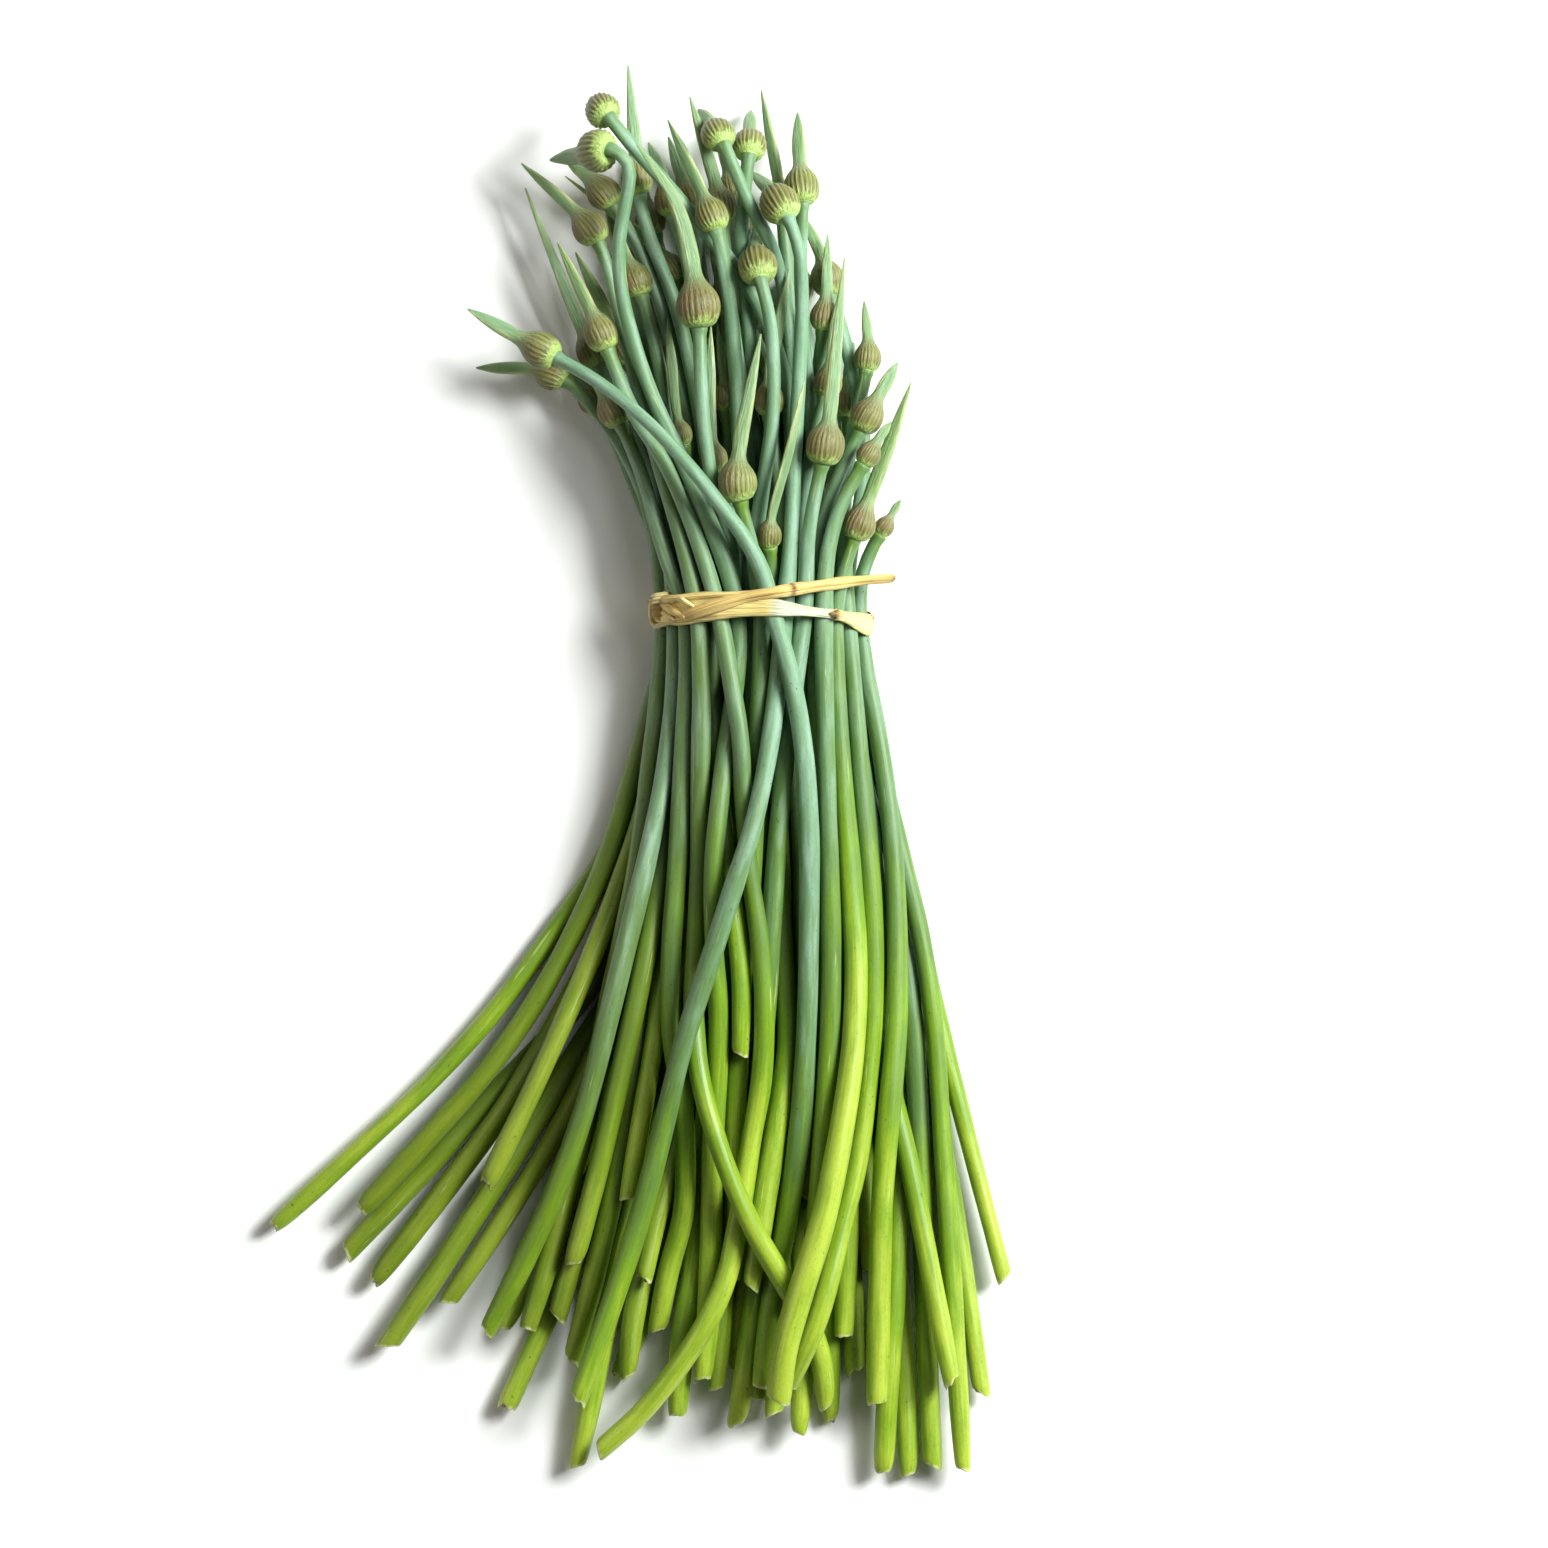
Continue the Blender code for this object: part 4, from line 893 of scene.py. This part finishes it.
def add_lump(skin, dice, crown, thick):
    """The strands inside the knot: a grooved lump along the band."""
    centre = np.array([-29.6, -1.1, crown.height(-30.0, -1.0) - 0.5])
    sides, reach, half_width, half_height = 30, 3.6, 3.1, 1.5
    angles = angles_round(sides)
    grooves = 0.1 * np.cos(np.arange(sides) * TURN / 5.0) + dice.normal(0.0, 0.03, sides)
    rings = []
    for place in np.linspace(-0.97, 0.97, 14):
        swell = math.sqrt(1.0 - place**2) * (1.0 + grooves)
        points = np.stack([np.full(sides, centre[0] + place * reach),
                           centre[1] + np.cos(angles) * half_width * swell,
                           centre[2] + np.sin(angles) * half_height * swell], axis=1)
        rings.append(skin.ring(points, round_x=np.cos(angles) * 4.0, round_y=np.sin(angles) * 2.5,
                               along=place * reach, golden=0.9, mark=0.45, pale=0.0))
    skin.join_all(rings)
    for ring, way in ((rings[0], -1.0), (rings[-1], 1.0)):
        skin.close(ring, centre + np.array([way * reach, 0.0, 0.0]), 0, way < 0.0,
                   round_x=0.0, round_y=0.0, along=0.0, golden=0.9, mark=0.5, pale=0.0)


# Materials

# Grain along the strand: fineness and stretch, where its mask starts and is full, and a shift of the noise.
GRAINS = {
    "green patches": (0.16, 4.0, 0.3, 0.7, 0.0), "green streaks": (1.3, 26.0, 0.25, 0.75, 0.0),
    "wax": (0.5, 7.0, 0.42, 0.72, 40.0), "mottling": (1.9, 2.2, 0.5, 0.66, 55.0),
    "scars": (0.75, 17.0, 0.675, 0.74, 70.0), "flecks": (0.95, 1.3, 0.7, 0.73, 90.0),
    "stem fibres": (3.4, 40.0, 0.2, 0.8, 10.0), "bud streaks": (1.1, 9.0, 0.3, 0.7, 0.0),
    "bud fibres": (2.6, 14.0, 0.25, 0.75, 20.0), "bud spots": (1.4, 1.6, 0.7, 0.76, 33.0),
    "pores": (2.2, 1.0, 0.4, 0.62, 5.0), "stain": (0.6, 1.0, 0.35, 0.7, 15.0),
    "leaf fibres": (3.2, 60.0, 0.3, 0.7, 0.0), "broad fibres": (0.9, 34.0, 0.3, 0.7, 12.0),
    "dark lines": (2.4, 70.0, 0.56, 0.68, 60.0),
}

# Colours of the marks and films that no setting holds.
TONES = {
    "wax": shade(156, 186, 168), "by the cut": shade(206, 206, 148), "mottling": shade(58, 84, 40),
    "scars": shade(190, 200, 130), "flecks": shade(58, 74, 30), "stem sheen": shade(180, 236, 216),
    "brown groove": shade(98, 74, 42), "mint": shade(160, 196, 142), "lime round the neck": shade(164, 190, 104),
    "bud shoulder": shade(128, 142, 104), "beak lines": shade(86, 112, 62), "bud spots": shade(112, 92, 50),
    "bud sheen": shade(210, 232, 200), "pores": shade(128, 104, 66), "stain": shade(206, 212, 150),
    "leaf fibres": shade(250, 234, 168), "dark lines": shade(168, 122, 62),
}


class Net:
    """A node tree in the making, with one short call for each kind of node that it needs."""

    def __init__(self, tree):
        self.tree = tree

    def node(self, kind, **settings):
        made = self.tree.nodes.new(kind)
        for name, value in settings.items():
            setattr(made, name, value)
        return made

    def feed(self, socket, value):
        """Puts a link, a number or a colour into a socket."""
        if isinstance(value, bpy.types.NodeSocket):
            self.tree.links.new(value, socket)
        else:
            socket.default_value = (*value, 1.0) if isinstance(value, tuple) else value

    def math(self, operation, *values, clamp=False):
        made = self.node("ShaderNodeMath", operation=operation, use_clamp=clamp)
        for socket, value in zip(made.inputs, values):
            self.feed(socket, value)
        return made.outputs[0]

    def add(self, value, other, clamp=False):
        return self.math("ADD", value, other, clamp=clamp)

    def times(self, value, factor, plus=None, clamp=False):
        """A value times a factor, and plus another value where there is one."""
        if plus is None:
            return self.math("MULTIPLY", value, factor, clamp=clamp)
        return self.math("MULTIPLY_ADD", value, factor, plus, clamp=clamp)

    def mix(self, share, low, high):
        """Two colours mixed by a share."""
        made = self.node("ShaderNodeMix", data_type="RGBA", clamp_factor=True)
        for socket, value in ((0, share), (6, low), (7, high)):
            self.feed(made.inputs[socket], value)
        return made.outputs[2]

    def range(self, value, low, high, to_low=0.0, to_high=1.0):
        """A value moved from one range to another, eased at both ends."""
        made = self.node("ShaderNodeMapRange", interpolation_type="SMOOTHSTEP")
        for socket, number in zip(made.inputs, (value, low, high, to_low, to_high)):
            self.feed(socket, number)
        return made.outputs[0]

    def ramp(self, value, stops):
        made = self.node("ShaderNodeValToRGB")
        elements = made.color_ramp.elements
        while len(elements) < len(stops):
            elements.new(0.5)
        for element, (place, colour) in zip(elements, stops):
            element.position = place
            element.color = (*colour, 1.0)
        self.feed(made.inputs[0], value)
        return made.outputs[0]

    def read(self, name):
        """A value that the skin carries at its points."""
        return self.node("ShaderNodeAttribute", attribute_type="GEOMETRY", attribute_name=name).outputs["Fac"]

    def grain(self, name):
        made = self.node("ShaderNodeGroup", node_tree=shared_grain())
        for socket, value in zip(made.inputs, GRAINS[name]):
            socket.default_value = value
        return made.outputs[0]

    def marked(self, colour, name, amount):
        """A colour with a film or marks over it that a grain and a tone of one name give."""
        return self.mix(self.times(self.grain(name), amount), colour, TONES[name])


def shared_grain():
    """Noise drawn out along a strand: the same effect gives streaks, fibres and long scars."""
    if made := bpy.data.node_groups.get("Grain along the strand"):
        return made
    tree = bpy.data.node_groups.new("Grain along the strand", "ShaderNodeTree")
    for name in ("Fineness", "Stretch", "Low", "High", "Shift"):
        tree.interface.new_socket(name, in_out="INPUT", socket_type="NodeSocketFloat")
    tree.interface.new_socket("Mask", in_out="OUTPUT", socket_type="NodeSocketFloat")
    net = Net(tree)
    fineness, stretch, low, high, shift, _ = net.node("NodeGroupInput").outputs
    place = net.node("ShaderNodeCombineXYZ")
    net.feed(place.inputs[0], net.times(net.read("round_x"), fineness))
    net.feed(place.inputs[1], net.times(net.read("round_y"), fineness))
    lengthwise = net.math("DIVIDE", fineness, stretch)
    net.feed(place.inputs[2], net.add(net.times(net.read("along"), lengthwise), shift))
    noise = net.node("ShaderNodeTexNoise", noise_dimensions="3D")
    net.feed(noise.inputs["Vector"], place.outputs[0])
    noise.inputs["Scale"].default_value = 1.0
    noise.inputs["Detail"].default_value = 3.0
    net.feed(net.node("NodeGroupOutput").inputs[0], net.range(noise.outputs["Fac"], low, high))
    return tree


def surface(name):
    """A new material, its net and its shader."""
    made = bpy.data.materials.new(name)
    made.use_nodes = True
    return made, Net(made.node_tree), made.node_tree.nodes["Principled BSDF"]


def dress(net, shader, colour, roughness, height, distance, strength=1.0, sheen=None):
    """Feeds the shader. The bump has a distance and a strength, and the sheen a weight, a roughness and a tone."""
    bump = net.node("ShaderNodeBump")
    net.feed(bump.inputs["Strength"], strength)
    net.feed(bump.inputs["Distance"], distance)
    net.feed(bump.inputs["Height"], height)
    for socket, value in (("Base Color", colour), ("Roughness", roughness), ("Normal", bump.outputs[0])):
        net.feed(shader.inputs[socket], value)
    for socket, value in zip(("Sheen Weight", "Sheen Roughness", "Sheen Tint"), sheen or ()):
        net.feed(shader.inputs[socket], value)


def stem_colour(net, settings):
    """Green from the bloom below the head to the lime of the foot, uneven in patches and streaks."""
    uneven = net.times(net.grain("green patches"), 0.22, net.times(net.grain("green streaks"), 0.14, -0.18))
    return net.ramp(net.add(net.read("ripeness"), uneven, clamp=True), (
        (0.0, settings.bloom[:]), (0.4, settings.leaf[:]), (0.72, settings.fresh[:]), (1.0, settings.lime[:])))


def stem_material(settings):
    """Waxy skin with streaks, pale scars and small dark flecks, and painted shade on the left of the bunch."""
    made, net, shader = surface("scape skin")
    ripeness, wax, scars = net.read("ripeness"), net.grain("wax"), net.grain("scars")
    # Painted shade: the stems on the left of the bunch are mixed towards a darker, duller green.
    colour = net.mix(net.times(net.read("olive_shade"), 0.75), stem_colour(net, settings), settings.olive_shade[:])
    waxed = net.times(net.range(ripeness, 0.6, 0.06), net.times(wax, 0.45, 0.05))
    colour = net.mix(waxed, colour, TONES["wax"])
    from_cut = net.times(wax, 1.2, net.read("along"))
    colour = net.mix(net.range(from_cut, 1.35, 0.45, 0.0, 0.8), colour, TONES["by the cut"])
    colour = net.marked(colour, "mottling", 0.16)
    colour = net.mix(net.times(scars, 0.5), colour, TONES["scars"])
    colour = net.marked(colour, "flecks", 0.8)
    rough = net.times(ripeness, -0.17, net.range(wax, 0.0, 1.0, 0.52, 0.64))
    height = net.add(net.times(net.grain("stem fibres"), 0.35), net.times(scars, -0.6))
    dress(net, shader, colour, rough, height, 0.00012, 0.7, (0.08, 0.5, TONES["stem sheen"]))
    return made


def head_material(settings):
    """The bud's ribs, its own browning with more brown on its left side as painted shade, and the beak's pale
    folded edges.
    """
    made, net, shader = surface("bud and beak skin")
    bulge, streaks, fibres = net.read("bulge"), net.grain("bud streaks"), net.grain("bud fibres")
    ribbed = net.add(net.times(net.read("rib"), 0.75), net.times(streaks, 0.4, -0.1), clamp=True)
    body = net.mix(ribbed, settings.groove[:], settings.crest[:])
    # Painted shade: the left sides of the buds are browner and darker. Part of the brown is each head's own
    # browning.
    browned_and_shaded = net.times(net.read("browned_and_shaded"), net.times(streaks, 0.5, 0.45))
    around = net.times(net.range(bulge, -0.95, -0.2), net.range(bulge, 1.7, 0.7))
    browned = net.mix(ribbed, TONES["brown groove"], settings.blush[:])
    body = net.mix(net.times(browned_and_shaded, around), body, browned)
    by_neck = net.times(streaks, -0.35, bulge)
    body = net.mix(net.range(by_neck, -1.25, -0.6), TONES["lime round the neck"], body)
    body = net.mix(net.range(bulge, 0.3, 1.3, 0.0, 0.7), body, TONES["bud shoulder"])
    mint = net.mix(0.35, stem_colour(net, settings), TONES["mint"])
    beak = net.mix(net.times(fibres, 0.5), mint, TONES["beak lines"])
    edge = net.times(net.read("edge"), net.times(streaks, 0.7, 0.1))
    beak = net.mix(edge, beak, settings.cream[:])
    beak = net.mix(net.range(bulge, 6.0, 14.0, 0.0, 0.55), beak, settings.cream[:])
    colour = net.mix(net.range(bulge, 0.75, 1.9), body, beak)
    colour = net.marked(colour, "bud spots", 0.5)
    rough = net.range(streaks, 0.0, 1.0, 0.38, 0.55)
    height = net.add(fibres, net.times(streaks, 0.6))
    dress(net, shader, colour, rough, height, 0.00018, 0.8, (0.12, 0.45, TONES["bud sheen"]))
    return made


def cut_material(settings):
    """Dried, fibrous flesh of the cut foot."""
    made, net, shader = surface("cut flesh")
    pores = net.grain("pores")
    colour = net.mix(net.times(pores, 0.6), settings.flesh[:], TONES["pores"])
    colour = net.marked(colour, "stain", 0.45)
    dress(net, shader, colour, net.range(pores, 0.0, 1.0, 0.65, 0.9), pores, 0.00025)
    return made


def raffia_material(settings):
    """Dry leaf strip with lengthwise fibres, golden along the tail and brown at its joints."""
    made, net, shader = surface("raffia")
    pale, fibres, broad = net.read("pale"), net.grain("leaf fibres"), net.grain("broad fibres")
    tone = net.add(net.read("golden"), net.times(broad, 0.5, -0.22), clamp=True)
    colour = net.mix(tone, settings.straw[:], settings.golden[:])
    colour = net.mix(net.times(fibres, 0.45), colour, TONES["leaf fibres"])
    colour = net.mix(pale, colour, settings.bleached[:])
    colour = net.marked(colour, "dark lines", net.times(pale, -0.35, 0.65))
    mark = net.times(net.read("mark"), net.times(broad, 0.5, 0.6), clamp=True)
    colour = net.mix(mark, colour, settings.joint[:])
    dress(net, shader, colour, net.range(fibres, 0.0, 1.0, 0.72, 0.5), net.add(fibres, broad), 0.0002)
    return made


def floor_material(settings):
    """Plain pale board with the faintest mottling."""
    made, net, shader = surface("pale floor")
    noise = net.node("ShaderNodeTexNoise")
    noise.inputs["Scale"].default_value = 6.0
    darker = tuple(part * 0.985 for part in settings.floor_colour)
    net.feed(shader.inputs["Base Color"], net.mix(noise.outputs["Fac"], settings.floor_colour[:], darker))
    net.feed(shader.inputs["Roughness"], 0.8)
    return made


# Operators


class OBJECT_OT_garlic_scapes(bpy.types.Operator):
    """Lay a fine skin along every scape of the frame"""

    bl_idname = "object.garlic_scapes"
    bl_label = "Scapes"

    def execute(self, context):
        settings = context.scene.scape_settings
        materials = [make(settings) for make in (stem_material, head_material, cut_material)]
        for name in SCAPES:
            piece = scape_piece(Strand(name), settings, materials)
            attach(piece, "root")
            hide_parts(name)
        return {"FINISHED"}


class OBJECT_OT_garlic_raffia(bpy.types.Operator):
    """Wind the raffia round the tied stems"""

    bl_idname = "object.garlic_raffia"
    bl_label = "Raffia tie"

    def execute(self, context):
        settings = context.scene.raffia_settings
        bundle = Bundle([Strand(name) for name in SCAPES])
        piece = tie_piece(bundle, settings, raffia_material(settings))
        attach(piece, "root")
        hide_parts("raffia_tie")
        return {"FINISHED"}


# The lights: name, place and side in metres, power in watts and colour. All look at one point, and the pale
# room gives a little light from everywhere.
LIGHTS = (
    ("key light", (1.0, 0.5, 1.0), 0.6, 44.0, (0.96, 1.0, 0.97)),
    ("top light", (0.9, 0.6, 1.7), 1.0, 10.0, (1.0, 1.0, 1.0)),
    ("left fill", (-1.0, 0.1, 0.8), 0.7, 2.8, (1.0, 0.95, 0.8)),
)
LIT_POINT = (0.03, 0.0, 0.02)
ROOM_LIGHT = 0.07


def add_light(name, place, size, power, colour):
    """A square soft light."""
    light = bpy.data.lights.new(name, "AREA")
    light.shape = "SQUARE"
    light.size, light.energy, light.color = size, power, colour
    holder = bpy.data.objects.new(name, light)
    holder.location = place
    holder.rotation_euler = (Vector(LIT_POINT) - Vector(place)).to_track_quat("-Z", "Y").to_euler()
    bpy.context.scene.collection.objects.link(holder)


class OBJECT_OT_garlic_stage(bpy.types.Operator):
    """Set up the pale floor, the soft lights and the camera that looks straight down"""

    bl_idname = "object.garlic_stage"
    bl_label = "Stage"

    def execute(self, context):
        settings = context.scene.stage_settings
        half = settings.floor_size / 2.0
        data = bpy.data.meshes.new("floor")
        corners = [(-half, -half, 0.0), (half, -half, 0.0), (half, half, 0.0), (-half, half, 0.0)]
        data.from_pydata(corners, [], [(0, 1, 2, 3)])
        data.materials.append(floor_material(settings))
        floor = bpy.data.objects.new("floor", data)
        context.scene.collection.objects.link(floor)
        for light in LIGHTS:
            add_light(*light)
        world = bpy.data.worlds.new("studio")
        world.use_nodes = True
        room = world.node_tree.nodes["Background"]
        room.inputs["Color"].default_value = (1.0, 1.0, 1.0, 1.0)
        room.inputs["Strength"].default_value = ROOM_LIGHT
        context.scene.world = world
        context.scene.view_settings.view_transform = "Standard"
        lens = bpy.data.cameras.new("camera")
        lens.lens = settings.lens
        lens.sensor_width = 36.0
        camera = bpy.data.objects.new("camera", lens)
        height = settings.view_width * settings.lens / lens.sensor_width
        camera.location = (Vector(TIE) + Vector(VIEW_FROM_TIE)) * MM + Vector(UPWARD) * height
        context.scene.collection.objects.link(camera)
        context.scene.camera = camera
        return {"FINISHED"}


class VIEW3D_PT_garlic_scapes(bpy.types.Panel):
    """Buttons and settings for the bunch"""

    bl_label = "Garlic scapes"
    bl_space_type = "VIEW_3D"
    bl_region_type = "UI"
    bl_category = "Scapes"

    def draw(self, context):
        groups = (
            (OBJECT_OT_garlic_scapes, context.scene.scape_settings),
            (OBJECT_OT_garlic_raffia, context.scene.raffia_settings),
            (OBJECT_OT_garlic_stage, context.scene.stage_settings),
        )
        for operator, settings in groups:
            box = self.layout.box()
            box.operator(operator.bl_idname)
            for name in settings.__annotations__:
                box.prop(settings, name)


SETTINGS = {
    "scape_settings": ScapeSettings,
    "raffia_settings": RaffiaSettings,
    "stage_settings": StageSettings,
}
CLASSES = (*SETTINGS.values(), OBJECT_OT_garlic_scapes, OBJECT_OT_garlic_raffia, OBJECT_OT_garlic_stage,
           VIEW3D_PT_garlic_scapes)


def register():
    for made in CLASSES:
        bpy.utils.register_class(made)
    for name, settings in SETTINGS.items():
        setattr(bpy.types.Scene, name, PointerProperty(type=settings))


def unregister():
    for name in SETTINGS:
        delattr(bpy.types.Scene, name)
    for made in reversed(CLASSES):
        bpy.utils.unregister_class(made)


def main():
    register()
    bpy.ops.object.garlic_stage()
    bpy.ops.object.garlic_scapes()
    bpy.ops.object.garlic_raffia()


if __name__ == "__main__":
    main()
